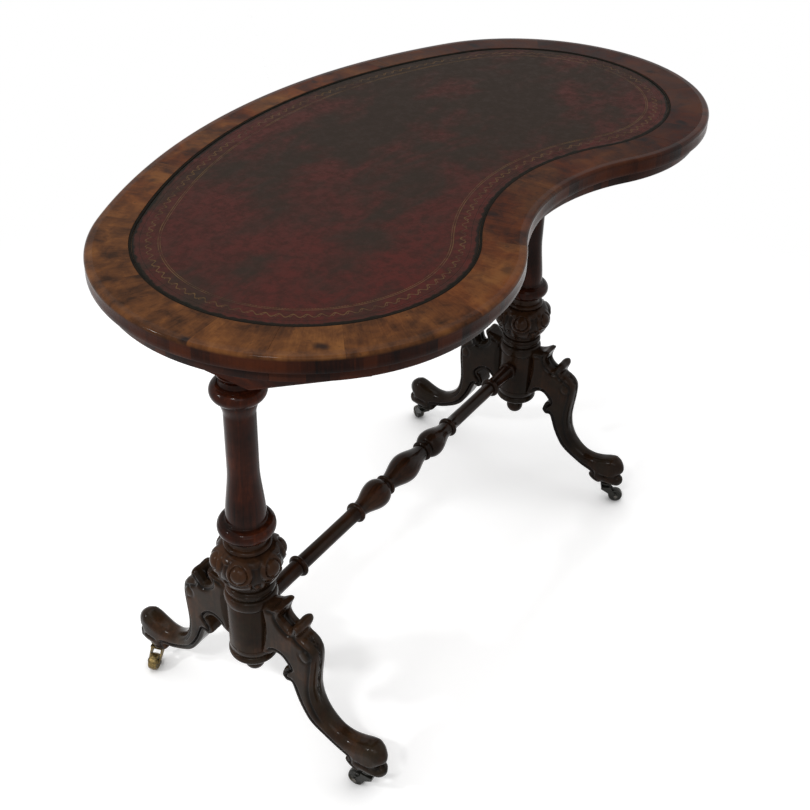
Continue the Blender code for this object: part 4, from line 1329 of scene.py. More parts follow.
    def leather(self, finish: bpy.types.Material) -> None:
        """Builds the leather, turned down a little at its rim and faintly wavy."""
        insets, drops = self.hide_insets, self.hide_drops
        top = self.height - self.veneer + self.hide
        along = lengths(self.recess.outline())[:-1]
        rings = [self.recess.outline(HAIR + inset) for inset in insets]
        count = len(along)
        spots, heights, chart = [], [], []
        for k, (ring, inset) in enumerate(zip(rings, insets)):
            drop = drops[k] if k < len(drops) else 0.0
            spots.append(ring)
            wave = self.ring_wave * (1 + np.sin(along * 61.0 + k * 0.7))
            heights.append(top - drop - wave * (k > 0))
            chart.append(np.stack([along, np.full(count, inset)], 1))
        starts = range(0, len(rings) * count, count)
        faces = [face for low, high in zip(starts, starts[1:]) for face in bridge(high, low, count)]
        spread = np.arange(-0.5, 0.5, self.hide_grid)
        field = np.array([(x, y) for x in spread for y in spread])
        last = rings[-1]
        field = field[inside(field, self.recess.outline(insets[-1] + self.field_gap))]
        kept, middle = filled(last, field)
        shift = (len(rings) - 1) * count
        faces += [[shift + k for k in face] for face in middle]
        extra = kept[count:]
        spots.append(extra)
        ripple = np.sin(extra[:, 0] * 23.0 + 1.3 * np.sin(extra[:, 1] * 31.0))
        heights.append(top - self.field_wave * (1 + ripple))
        chart.append(np.stack([np.zeros(len(extra)), np.full(len(extra), self.field_inset)], 1))
        above = np.concatenate([np.concatenate(spots), np.concatenate(heights)[:, None]], 1)
        start = len(above)
        below = np.concatenate([rings[0], np.full((count, 1), self.height - self.veneer)], 1)
        faces += bridge(0, start, count)
        kept, floor = filled(rings[0], np.empty((0, 2)))
        faces += [[start + k for k in reversed(face)] for face in floor]
        mesh = mesh_of("leather_skin", np.concatenate([above, below]), faces)
        set_chart(mesh, self.seam_chart(mesh, np.concatenate(chart + [chart[0]])))
        piece(mesh, finish, Slot.LEATHER, "leather_inset")

    def seam_chart(self, mesh: bpy.types.Mesh, pairs: np.ndarray) -> Callable[[int, int], Pair]:
        """Chart whose distance runs on over the seam instead of jumping back.

        Args:
            mesh: The leather.
            pairs: Distance along and inwards of every vertex.

        Returns:
            The chart.
        """
        whole = lengths(self.recess.outline())[-1]
        span = whole / 2

        def chart(face: int, vertex: int) -> Pair:
            """Chart of one corner."""
            u, v = pairs[vertex]
            corners = mesh.polygons[face].vertices
            if len(corners) == 4 and u < span / 8 and max(pairs[k][0] for k in corners) > span:
                u += whole
            return u, v

        return chart

    def board(self, finish: bpy.types.Material) -> None:
        """Builds the board that carries the veneers."""
        rim = self.shape.outline(self.moulding + HAIR)
        count = len(rim)
        kept, flat = filled(rim, np.empty((0, 2)))
        high = self.height - self.veneer - HAIR
        low = self.height - self.thickness
        points = [(x, y, z) for z in (high, low) for x, y in kept[:count]]
        faces = [list(face) for face in flat]
        faces += [[count + k for k in reversed(face)] for face in flat]
        faces += bridge(0, count, count)
        piece(mesh_of("board_skin", np.array(points), faces), finish, Slot.PINE, "top_board")


@dataclass(frozen=True)
class Line:
    """Carved line: its depth, where its middle is, and its width."""

    depth: float
    at: float
    width: float

    def sunk(self, value: np.ndarray) -> np.ndarray:
        """Depth of the line at each value."""
        return self.depth * bell(value - self.at, self.width)


@dataclass(frozen=True)
class Column:
    """Everything turned at one end: column, vase, hub, disc and finial."""

    side: Side
    x: float = COLUMN_X
    neck_z: float = 0.5667
    capital_z: float = 0.5425
    collar_z: float = 0.3475
    foot_z: float = 0.334
    vase_ring_z: float = 0.3213
    shoulder_z: float = 0.3170
    waist_z: float = 0.2665
    vase_foot_z: float = 0.2615
    vase_radius: float = 0.0440
    waist_radius: float = 0.0285
    shoulder_radius: float = 0.030
    boss_z: float = 0.302
    boss_turn: float = -96.0
    boss_radius: float = 0.0108
    boss_rise: float = 0.0052
    hub_ring_z: float = 0.2535
    hub_bead_z: float = 0.238
    hub_bottom_z: float = 0.15
    disc_bottom_z: float = 0.139
    finial_bottom_z: float = 0.1045
    ball_radius: float = 0.0132
    spigot: float = 0.030
    spigot_radius: float = 0.012
    finial_spigot: float = 0.028
    finial_spigot_radius: float = 0.006
    disc_hole: float = 0.0063
    bosses: int = 6
    belly_inset: float = 0.0014
    lobe_rise: float = 0.0026
    lobe_fall: float = 0.0040
    boss_line: Line = Line(0.0010, 0.019008, 0.0016)
    panel_depth: float = 0.0014
    panel_sides: Pair = (0.0094, 0.0066)
    panel_top: Pair = (0.3105, 0.3075)
    panel_foot: Pair = (0.2735, 0.2775)
    drop_z: float = 0.2805
    drop_half: Pair = (0.0046, 0.0034)
    drop_rise: float = 0.0021
    drop_line: Line = Line(0.0008, 1.25, 0.2)
    foot_line: Line = Line(0.0012, 0.2722, 0.0011)
    carving_full: float = 0.0026
    neck_shade: float = -0.35
    steps: int = 96

    @property
    def place(self) -> Matrix:
        """Where the column stands."""
        return Matrix.Translation((self.side.sign * self.x, 0, 0))

    def shaft(self) -> list[Pair]:
        """Profile of the column, from top to bottom."""
        pin, cap, ring = self.spigot_radius, self.capital_z + 0.0105, self.collar_z + 0.010
        shaft_top = (0.0188, cap - 0.042)
        waist = (0.0188, (shaft_top[1] + ring) / 2)
        return [
            (0, self.neck_z + self.spigot), (pin, self.neck_z + self.spigot), (pin, self.neck_z),
            (0.0233, self.neck_z), (0.0235, self.neck_z - 0.0006), (0.0233, self.neck_z - 0.0020),
            *swell((0.0228, self.neck_z - 0.0022), (0.0206, self.neck_z - 0.0075), 6),
            (0.0206, self.neck_z - 0.0075), (0.0210, self.neck_z - 0.0105), (0.0221, cap + 0.0008),
            (0.0262, cap + 0.0002), (0.0268, cap - 0.0004), (0.0264, cap - 0.0012),
            *ribbed(0.0325, 0.0225, self.capital_z, 0.021, (0.16, 0.86))[3:],
            (0.0229, cap - 0.0216), (0.0226, cap - 0.0228),
            *swell((0.0224, cap - 0.0230), shaft_top, 14), shaft_top, waist,
            *swell(waist, (0.0245, ring + 0.0016), 24),
            (0.0245, ring + 0.0016), (0.0251, ring + 0.0008),
            *ribbed(0.0352, 0.027, self.collar_z, 0.020, (0.13, 0.27, 0.75, 0.88)),
            (0.0262, self.collar_z - 0.0104), (0.0245, self.collar_z - 0.0114),
            (0.0243, self.foot_z + 0.0008), (0.0240, self.foot_z), (pin, self.foot_z),
            (pin, self.foot_z - self.spigot), (0, self.foot_z - self.spigot),
        ]

    def hub(self) -> list[Pair]:
        """Profile of the hub, from top to bottom."""
        top = self.vase_foot_z - HAIR
        return [
            (0, top), (0.0300, top),
            *ribbed(0.0315, 0.0285, self.hub_ring_z, 0.013, (0.38, 0.62), 0.0009),
            *ribbed(0.0335, 0.030, self.hub_bead_z, 0.016, (0.14, 0.86)),
            (0.0302, self.hub_bead_z - 0.0085), (0.0305, self.hub_bead_z - 0.0094),
            *ribbed(0.0298, 0.0305, 0.1600, 0.0018, steps=6), (0.0305, self.hub_bottom_z + 0.0006),
            (0.0299, self.hub_bottom_z), (0, self.hub_bottom_z),
        ]

    def disc(self) -> list[Pair]:
        """Profile of the disc under the hub."""
        top = self.hub_bottom_z - HAIR
        middle = (top + self.disc_bottom_z) / 2
        rim = ribbed(0.0318, 0.0285, middle, top - self.disc_bottom_z, (0.5,))
        return [(self.disc_hole, top), *rim, (self.disc_hole, self.disc_bottom_z)]

    def finial(self) -> list[Pair]:
        """Profile of the drop under the disc."""
        top = self.disc_bottom_z - HAIR
        centre = self.finial_bottom_z + self.ball_radius
        start = math.asin(0.0070 / self.ball_radius)
        turns = np.linspace(start, math.pi, 20)[:-1]
        ball = [(self.ball_radius * math.sin(t), centre + self.ball_radius * math.cos(t)) for t in turns]
        return [
            (0, top + self.finial_spigot), (self.finial_spigot_radius, top + self.finial_spigot),
            (self.finial_spigot_radius, top), (0.0092, top), (0.0095, top - 0.0004),
            (0.0095, top - 0.0031), (0.0090, top - 0.0036), (0.0074, top - 0.0042),
            *ball, (0, self.finial_bottom_z),
        ]

    def carving(self, z: np.ndarray, turns: np.ndarray) -> np.ndarray:
        """How far the vase's carving rises: bosses in scrolled rings, hollow panels, drops.

        Args:
            z: Heights, one to a row.
            turns: Turns round the vase.

        Returns:
            Rises, below 0 where the carving sinks.
        """
        sector = TAU / self.bosses
        phase = turns - math.radians(self.boss_turn) + sector / 2
        away = np.abs(phase % sector - sector / 2)[None, :]
        boss = self.boss_radius
        reach = np.hypot(self.vase_radius * away, z - self.boss_z)
        dome = np.sqrt(np.clip(1 - (reach / boss) ** 2, 0, 1))
        lobe = self.lobe_rise * bell(np.maximum(reach - boss * 1.16, 0), self.lobe_fall)
        rise = self.boss_rise * dome + lobe * ease(reach, boss, boss * 1.22)
        rise = rise - self.boss_line.sunk(reach)
        between = self.vase_radius * (sector / 2 - away)
        panel = ease(z, *self.panel_top) * ease(z, *self.panel_foot)
        panel = ease(between, *self.panel_sides) * panel * ease(reach, boss * 1.5, boss * 1.8)
        rise = rise - self.panel_depth * panel
        oval = np.hypot(between / self.drop_half[0], (z - self.drop_z) / self.drop_half[1])
        rise = rise + self.drop_rise * np.sqrt(np.clip(1 - oval ** 2, 0, 1))
        return rise - self.drop_line.sunk(oval) - self.foot_line.sunk(z)

    def vase(self, rows: int = 96, turns: int = 300) -> bpy.types.Mesh:
        """Carved vase with its plain neck and foot.

        Args:
            rows: Steps down the carved belly.
            turns: Steps round it.

        Returns:
            The mesh.
        """
        share = np.linspace(0.0, 1.0, rows)
        share = 0.35 * share + 0.65 * (0.5 - 0.5 * np.cos(math.pi * share))
        height = self.shoulder_z + (self.waist_z - self.shoulder_z) * share
        swollen = np.sin(math.pi * share ** 0.86) ** 0.55
        belly = self.vase_radius - self.belly_inset
        base = self.waist_radius + (belly - self.waist_radius) * swollen
        base = np.maximum(base, self.shoulder_radius * (1 - share * 6))
        rise = self.carving(height[:, None], np.arange(turns) * TAU / turns)
        quiet = ease(share, 0.02, 0.14) * ease(share, 1.0, 0.96)
        radius = base[:, None] + rise * quiet[:, None]
        pin, neck, foot = self.spigot_radius, self.foot_z - HAIR, self.vase_foot_z
        top = [(0, neck), (0.0242, neck), (0.0238, 0.3290), (0.0240, self.vase_ring_z + 0.0043),
               *ribbed(0.0292, 0.0244, self.vase_ring_z, 0.0078, steps=14),
               (0.0284, self.shoulder_z + 0.0003)]
        low = [(self.waist_radius, self.waist_z - 0.0006), (self.waist_radius, foot), (pin, foot),
               (pin, foot - self.spigot), (0, foot - self.spigot)]
        outer = np.concatenate([np.repeat([[r] for r, _ in top], turns, 1), radius,
                                np.repeat([[r] for r, _ in low], turns, 1)])
        levels = np.concatenate([[h for _, h in top], height, [h for _, h in low]])
        marks = np.zeros(outer.shape)
        # Painted shade on the plain neck under the collar, through the relief attribute.
        marks[:len(top)] = self.neck_shade
        # Painted shade in the carving's hollows and a painted highlight on its rises, through the relief
        # attribute.
        marks[len(top):len(top) + rows] = np.clip(rise / self.carving_full, -1, 1)
        return turned("vase_carved_" + self.side.label, outer, levels, marks, self.place, 60.0)

    def build(self, polished: bpy.types.Material, carved: bpy.types.Material) -> None:
        """Builds every turned piece of this end.

        Args:
            polished: Finish of the shaft.
            carved: Browner finish of what lies below it.
        """
        label = self.side.label
        for name, profile, finish in (
                ("column", self.shaft(), polished), ("hub", self.hub(), carved),
                ("base_disc", self.disc(), carved), ("finial", self.finial(), carved)):
            mesh = lathe(name + "_turned_" + label, profile, self.steps, self.place)
            piece(mesh, finish, Slot.WALNUT, name + "_" + label)
        piece(self.vase(), carved, Slot.WALNUT, "vase_" + label)


@dataclass(frozen=True)
class Stretcher:
    """Turned rail between the columns."""

    z: float = 0.205
    shoulder_x: float = 0.3072
    tip_x: float = 0.324
    steps: int = 72

    def half(self) -> list[Pair]:
        """Profile as radius and distance from the middle, outwards."""
        ring = 0.006
        vase, vase_end = (0.0212, 0.0), (0.0120, 0.0440)
        inner, bulb, tail = (0.0126, 0.0555), (0.0206, 0.070), (0.0114, 0.110)
        made = [vase, *swell(vase, vase_end, 24), (0.0120, 0.0436)]
        made += outwards(ribbed(0.0156, 0.0120, 0.047, ring, (0.5,), 0.0004, 20))
        made += [(0.0122, 0.0502), (0.0112, 0.0516), (0.0114, 0.0538), inner]
        for turn in np.linspace(0, math.pi / 2, 14)[1:-1]:
            made.append((inner[0] + (bulb[0] - inner[0]) * math.sin(turn),
                         inner[1] + (bulb[1] - inner[1]) * (1 - math.cos(turn))))
        made += [bulb, *swell(bulb, tail, 20), tail]
        made += outwards(ribbed(0.0150, 0.0114, 0.118, 0.0078, steps=20))
        made += [(0.0112, 0.1230), (0.0104, 0.1242)]
        made += [(0.0104 - 0.0002 * math.sin(math.pi * s), 0.1242 + (0.2396 - 0.1242) * s)
                 for s in np.linspace(0, 1, 9)[1:]]
        made += outwards(ribbed(0.0152, 0.0104, 0.2446, 0.0078, steps=20))
        made += [(0.0112, 0.2494), (0.0106, 0.2512), (0.0106, 0.2700), (0.0112, 0.2962)]
        made += outwards(ribbed(0.0140, 0.0116, 0.3010, 0.0068, steps=20))
        made += [(0.0116, 0.3048), (0.0118, self.shoulder_x), (0.0085, self.shoulder_x),
                 (0.0085, self.tip_x), (0.0, self.tip_x)]
        return made

    def build(self, polished: bpy.types.Material) -> None:
        """Builds the rail."""
        profile = mirrored(self.half()[::-1])
        lie = Matrix.Translation((0, 0, self.z)) @ Matrix.Rotation(math.pi / 2, 4, "Y")
        mesh = lathe("stretcher_turned", profile, self.steps, lie)
        piece(mesh, polished, Slot.WALNUT, "stretcher")


@dataclass(frozen=True)
class Leg:
    """One scrolled leg: two horns, a carved knee, a thin ankle and a round toe."""

    side: Side
    end: End
    x: float = COLUMN_X
    reach: float = 0.2065
    top_z: float = 0.2503
    half_thickness: float = 0.0165
    arris: float = 0.0125
    bead: float = 0.0044
    hard: tuple[int, ...] = (0, 38, 39, 60)
    outline_shares: tuple[Pair, ...] = (
        (0.114, 0.964), (0.208, 0.981), (0.252, 1.000), (0.282, 0.997), (0.267, 0.959),
        (0.267, 0.927), (0.290, 0.899), (0.330, 0.881), (0.350, 0.913), (0.372, 0.943),
        (0.404, 0.946), (0.421, 0.919), (0.408, 0.868), (0.446, 0.852), (0.484, 0.831),
        (0.511, 0.801), (0.519, 0.763), (0.516, 0.699), (0.505, 0.615), (0.501, 0.536),
        (0.516, 0.463), (0.552, 0.405), (0.605, 0.361), (0.668, 0.331), (0.736, 0.324),
        (0.804, 0.334), (0.862, 0.352), (0.910, 0.362), (0.949, 0.352), (0.978, 0.330),
        (0.995, 0.300), (0.993, 0.272), (0.973, 0.244), (0.966, 0.232), (0.988, 0.222),
        (1.000, 0.206), (0.995, 0.180), (0.975, 0.161), (0.935, 0.156), (0.800, 0.156),
        (0.768, 0.164), (0.744, 0.178), (0.734, 0.196), (0.752, 0.214), (0.660, 0.236),
        (0.592, 0.264), (0.526, 0.298), (0.470, 0.339), (0.427, 0.391), (0.392, 0.446),
        (0.366, 0.503), (0.345, 0.539), (0.310, 0.535), (0.278, 0.562), (0.295, 0.613),
        (0.327, 0.641), (0.290, 0.679), (0.252, 0.691), (0.213, 0.679), (0.174, 0.647),
        (0.114, 0.631),
    )
    plan_shares: tuple[Pair, ...] = (
        (0.050, 1.000), (0.480, 1.000), (0.560, 0.880), (0.640, 0.820), (0.740, 0.860),
        (0.820, 0.940), (0.890, 0.930), (0.950, 0.780), (0.985, 0.500), (1.000, 0.200),
    )
    steps: int = 7
    rows: int = 11
    inner_lip: Line = Line(0.0034, 0.0060, 0.0015)
    inner_step: float = 0.0009
    outer_line: Line = Line(0.0019, 0.0070, 0.0016)
    scroll_at: Pair = (0.305, 0.622)
    scroll_line: Line = Line(0.0013, 0.0072, 0.0011)
    knee_at: Pair = (0.455, 0.775)
    knee_half: Pair = (0.040, 0.036)
    knee_line: Line = Line(0.0011, 1.0, 0.22)
    knee_dome: Line = Line(0.0006, 0.0, 0.6)
    crease_depth: float = 0.0022
    marks_full: float = 0.0015
    rim_marks_full: float = 0.0022
    first_insets: tuple[float, ...] = (0.0005, 0.0012, 0.0020)
    inset_step: float = 0.00085
    inset_last: float = 0.0112
    net: float = 0.0018
    net_from: float = 0.0117
    rim_plain: float = 0.0012
    thinnest: float = 0.0008

    def outline(self) -> tuple[np.ndarray, np.ndarray]:
        """Smooth side view.

        Returns:
            Rows of reach and height, and the position of each along the coarse points.
        """
        coarse = np.array(self.outline_shares) * (self.reach, self.top_z)
        tangent = np.zeros_like(coarse)
        tangent[1:-1] = (coarse[2:] - coarse[:-2]) * 0.42
        for k in self.hard:
            tangent[k] = 0
        points, where = [], []
        for k in range(len(coarse) - 1):
            for s in np.arange(self.steps) / self.steps:
                cube, square = s ** 3, s ** 2
                start = (2 * cube - 3 * square + 1) * coarse[k] + (cube - 2 * square + s) * tangent[k]
                end = (3 * square - 2 * cube) * coarse[k + 1] + (cube - square) * tangent[k + 1]
                points.append(start + end)
                where.append(k + s)
        points.append(coarse[-1])
        where.append(len(coarse) - 1.0)
        low, high = coarse.min(0), coarse.max(0)
        return np.clip(np.array(points), low, high), np.array(where)

    def half_width(self, reach: np.ndarray) -> np.ndarray:
        """Half of the thickness at a distance from the column, smoothed between the sizes."""
        table = np.array(self.plan_shares)
        share = reach / self.reach
        spread = sum(np.interp(share + d, table[:, 0], table[:, 1]) for d in (-0.03, -0.015, 0.0, 0.015))
        full = np.interp(share, table[:, 0], table[:, 1])
        mixed = np.where(share > 0.93, full, np.minimum(spread / 4, full + 0.06))
        return self.half_thickness * mixed

    def carving(self, points: np.ndarray, depth: np.ndarray, side: np.ndarray) -> np.ndarray:
        """How far the carved side sinks below the plain rounded side.

        Args:
            points: Rows of reach and height.
            depth: Distance of each from the outline.
            side: 1 for points nearer to the inner edge of the leg, -1 for the outer edge.

        Returns:
            Depths, below 0 where it rises.
        """
        u, v = points[:, 0] / self.reach, points[:, 1] / self.top_z
        under = ease(side, -0.2, 0.2)
        along = ease(u, 0.15, 0.20) * ease(u, 0.86, 0.74)
        lip = self.inner_lip.sunk(depth) + self.inner_step * ease(depth, 0.0050, 0.0036)
        outer = self.outer_line.sunk(depth) * ease(u, 0.60, 0.50)
        sink = (lip * under + outer * (1 - under)) * along
        (scroll_u, scroll_v), (knee_u, knee_v) = self.scroll_at, self.knee_at
        scroll = np.hypot((u - scroll_u) * self.reach, (v - scroll_v) * self.top_z)
        sink = sink + self.scroll_line.sunk(scroll) * ease(u, 0.40, 0.34)
        knee = np.hypot((u - knee_u) / self.knee_half[0], (v - knee_v) / self.knee_half[1])
        sink = sink + self.knee_line.sunk(knee) - self.knee_dome.sunk(knee)
        crease = bell(points[:, 1] - (0.0565 + 0.010 * (u - 0.90)), 0.0016) * ease(u, 0.80, 0.84)
        return sink + self.crease_depth * crease

    def inner_points(self, line: np.ndarray, normal: np.ndarray) -> np.ndarray:
        """Points inside the side view: close rows along its edge and a net further in.

        Args:
            line: The side view.
            normal: Direction outwards at each of its points.

        Returns:
            Rows of reach and height.
        """
        rings = []
        more = np.arange(0.0029, self.inset_last, self.inset_step)
        for step in np.concatenate([self.first_insets, more]):
            moved = line - normal * step
            fair = (nearest(moved, line) > step * 0.95) & inside(moved, line)
            rings.append(moved[fair])
        span = np.array([(x, z) for x in np.arange(0.02, self.reach, self.net)
                         for z in np.arange(0.035, self.top_z, self.net)])
        deep = span[inside(span, line)]
        return np.concatenate([*rings, deep[nearest(deep, line) > self.net_from]])

    def rounded(self, points: np.ndarray, depth: np.ndarray, side: np.ndarray) -> np.ndarray:
        """Half of the thickness with its arrises rounded, before the carving.

        Args:
            points: Rows of reach and height.
            depth: Distance of each from the outline.
            side: 1 for points nearer to the inner edge of the leg, -1 for the outer edge.

        Returns:
            Half of the thickness at each point.
        """
        width = self.half_width(points[:, 0])
        u, v = points[:, 0] / self.reach, points[:, 1] / self.top_z
        horn = np.maximum(bell(np.hypot((u - 0.26) / 0.05, (v - 0.98) / 0.05), 1),
                          bell(np.hypot((u - 0.40) / 0.03, (v - 0.92) / 0.04), 1))
        under = ease(side, -0.7, 0.7)
        soft = self.arris * (1 - 0.68 * horn) * (1 - under) + self.bead * under
        soft = np.minimum(soft, width * 0.90)
        rest = soft - np.minimum(depth, soft)
        return width - soft + np.sqrt(np.clip(soft ** 2 - rest ** 2, 0, None))

    def mesh(self) -> bpy.types.Mesh:
        """Builds the leg along +X of the column's frame and turns it into its place.

        Returns:
            The mesh, in place.
        """
        line, where = self.outline()
        count, rows = len(line), self.rows
        ahead = np.roll(line, -1, 0) - np.roll(line, 1, 0)
        normal = np.stack([ahead[:, 1], -ahead[:, 0]], 1)
        normal /= np.linalg.norm(normal, axis=1)[:, None] + 1e-12
        if not inside((line[60] - 0.001 * normal[60])[None], line)[0]:
            normal = -normal
        kept, flat = filled(line, self.inner_points(line, normal))
        total = len(kept)
        depth = nearest(kept, line)
        depth[:count] = 0.0
        toe_to_hub, hub_to_toe = line[where > 39.5], line[where < 38.5]
        both = nearest(kept, toe_to_hub, False) - nearest(kept, hub_to_toe, False)
        side = np.clip(-both / 0.004, -1, 1)
        sink = self.carving(kept, depth, side)
        carved = depth > self.rim_plain
        thick = self.rounded(kept, depth, side) - np.where(carved, sink, 0.0)
        thick = np.maximum(thick, self.thinnest)
        front, back = (np.stack([kept[:, 0], way * thick, kept[:, 1]], 1) for way in (-1, 1))
        band, dips = [], []
        for row in range(1, rows):
            share = 2 * row / rows - 1
            cut = self.rim_cut(where, share)
            spots = line - normal * cut[:, None]
            band.append(np.stack([spots[:, 0], thick[:count] * share, spots[:, 1]], 1))
            # Painted shade where the narrow faces are cut back, through the relief attribute.
            dips.append(-np.clip(cut / self.rim_marks_full, -1, 1))
        points = np.concatenate([front, back, *band])
        # Painted shade in the carved lines and a painted highlight on raised carving, through the relief
        # attribute.
        side_marks = -np.clip(sink / self.marks_full, -1, 1) * carved
        faces = oriented(points, [list(face) for face in flat])
        faces += [[total + k for k in reversed(face)] for face in faces[:len(flat)]]
        levels = [0] + [2 * total + row * count for row in range(rows - 1)] + [total]
        for low, high in zip(levels, levels[1:]):
            faces += bridge(low, high, count)
        leg = mesh_of("leg_carved_%s_%s" % (self.side.label, self.end.label), points, faces, 70.0)
        turn = Matrix.Rotation(self.end.sign * math.pi / 2, 4, "Z")
        leg.transform(Matrix.Translation((self.side.sign * self.x, 0, 0)) @ turn)
        set_relief(leg, np.concatenate([side_marks, side_marks, *dips]))
        return leg

    def rim_cut(self, where: np.ndarray, share: float) -> np.ndarray:
        """How far the narrow faces are cut back: between the horns, on the knee, above the toe.

        Args:
            where: Position of each point along the coarse outline.
            share: Place across the thickness, from -1 to 1.

        Returns:
            Depths.
        """
        middle = math.sqrt(max(0.0, 1 - share ** 2))
        hollow = ease(where, 4.2, 5.4) * ease(where, 9.0, 7.6) * 0.0026 * middle
        bars = (bell(where - 2.6, 0.9) + bell(where - 10.2, 0.8)) * 0.0006 * bell(share, 0.45)
        knee = ease(where, 12.4, 13.4) * ease(where, 21.0, 18.5)
        pits = np.cos(where * 5.1 + 1.2 * math.cos(share * 7.0)) * math.cos(share * 5.2)
        leaf = knee * (0.0010 + 0.0011 * pits) * ease(np.array(abs(share)), 1.0, 0.6)
        crease = bell(where - 33.0, 0.7) * 0.0010
        return hollow + bars + leaf + crease

    def build(self, carved: bpy.types.Material) -> None:
        """Builds the leg."""
        mesh = self.mesh()
        piece(mesh, carved, Slot.WALNUT, mesh.name.replace("_carved", ""))


@dataclass(frozen=True)
class Castor:
    """Plate, fork, axle and wheel under one leg."""

    side: Side
    end: End
    x: float = COLUMN_X
    y: float = 0.180
    trail: float = 0.017
    radius: float = 0.0115
    half_width: float = 0.0060
    plate_z: float = 0.03874
    crown_z: float = 0.0260
    crown_thickness: float = 0.0040
    pivot_radius: float = 0.003
    axle_hole: float = 0.0021
    cheek: float = 0.0024
    turns: tuple[float, ...] = (95.0, -160.0, -60.0, 60.0)

    @property
    def label(self) -> str:
        """Words used in node names."""
        return self.side.label + "_" + self.end.label

    @property
    def pivot(self) -> Matrix:
        """Where the swivel stands, unturned."""
        return Matrix.Translation((self.side.sign * self.x, self.end.sign * self.y, 0))

    @property
    def roll(self) -> Matrix:
        """Frame of the wheel's axle, which lies along Z."""
        turn = self.turns[(self.side.sign + 1) + (self.end.sign + 1) // 2]
        aside = Matrix.Translation((self.trail, 0, self.radius)) @ Matrix.Rotation(math.pi / 2, 4, "X")
        return self.pivot @ Matrix.Rotation(math.radians(turn), 4, "Z") @ aside

    def plate(self) -> list[Pair]:
        """Profile of the plate with its spindle above and its pivot below."""
        top, pin = self.plate_z, self.pivot_radius
        boss = self.crown_z + self.crown_thickness + HAIR
        head = self.crown_z - HAIR
        return [
            (0, top + 0.020), (pin, top + 0.016), (pin, top), (0.0100, top), (0.0105, top - 0.0005),
            (0.0105, top - 0.0015), (0.0099, top - 0.0022), (0.0072, top - 0.0023),
            (0.0064, top - 0.0034), (0.0060, top - 0.0042), (0.0062, boss + 0.0006), (0.0058, boss),
            (pin, boss), (pin, head), (0.0045, head), (0.0048, head - 0.0004),
            (0.0042, head - 0.0013), (0, head - 0.0015),
        ]

    def wheel(self) -> list[Pair]:
        """Closed profile of the wheel: rounded tread, dished sides and a raised hub."""
        half, hole = self.half_width, self.axle_hole
        side = [(hole, half), (0.0036, half), (0.0040, half - 0.0004), (0.0044, half - 0.0012),
                (0.0080, half - 0.0013), (0.0086, half - 0.0006), (0.0096, half - 0.0001),
                (0.0104, half - 0.0006), (0.0109, half - 0.0015), (0.0113, half - 0.0030)]
        return mirrored([*side, (self.radius, 0.0018), (self.radius, 0.0)])

    def axle(self) -> list[Pair]:
        """Profile of the riveted pin."""
        inner = self.half_width + self.cheek + HAIR
        return mirrored([
            (0, inner + 0.0010), (0.0018, inner + 0.0009), (0.0028, inner + 0.0006),
            (0.0032, inner + 0.0002), (0.0032, inner), (0.0018, inner),
        ])

    def build(self, brass: bpy.types.Material, iron: bpy.types.Material) -> None:
        """Builds the turned pieces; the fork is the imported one.

        Args:
            brass: Finish of the plate and the wheel.
            iron: Finish of the axle.
        """
        for part, profile, steps, place, finish, slot, body in (
                ("plate", self.plate(), 48, self.pivot, brass, Slot.BRASS, BODY),
                ("axle", self.axle(), 32, self.roll, iron, Slot.IRON, "castor_" + self.label),
                ("wheel", self.wheel(), 64, self.roll, brass, Slot.BRASS, "wheel_" + self.label)):
            mesh = lathe("castor_%s_skin_%s" % (part, self.label), profile, steps, place)
            piece(mesh, finish, slot, "castor_%s_%s" % (part, self.label), body=body)


@dataclass(frozen=True)
class Lamp:
    """Soft lamp that looks at the desk; wide is its width as a share of its height."""

    name: str
    at: tuple[float, float, float]
    watts: float
    high: float
    wide: float = 1.0
    aim: tuple[float, float, float] = (0.0, 0.0, 0.4)

    def build(self) -> None:
        """Hangs the lamp."""
        light = bpy.data.lights.new(self.name, "AREA")
        light.shape = "RECTANGLE"
        light.energy, light.size, light.size_y = self.watts, self.high * self.wide, self.high
        made = linked(self.name, light)
        made.location = self.at
        look = Vector(self.aim) - Vector(self.at)
        made.rotation_euler = look.to_track_quat("-Z", "Y").to_euler()


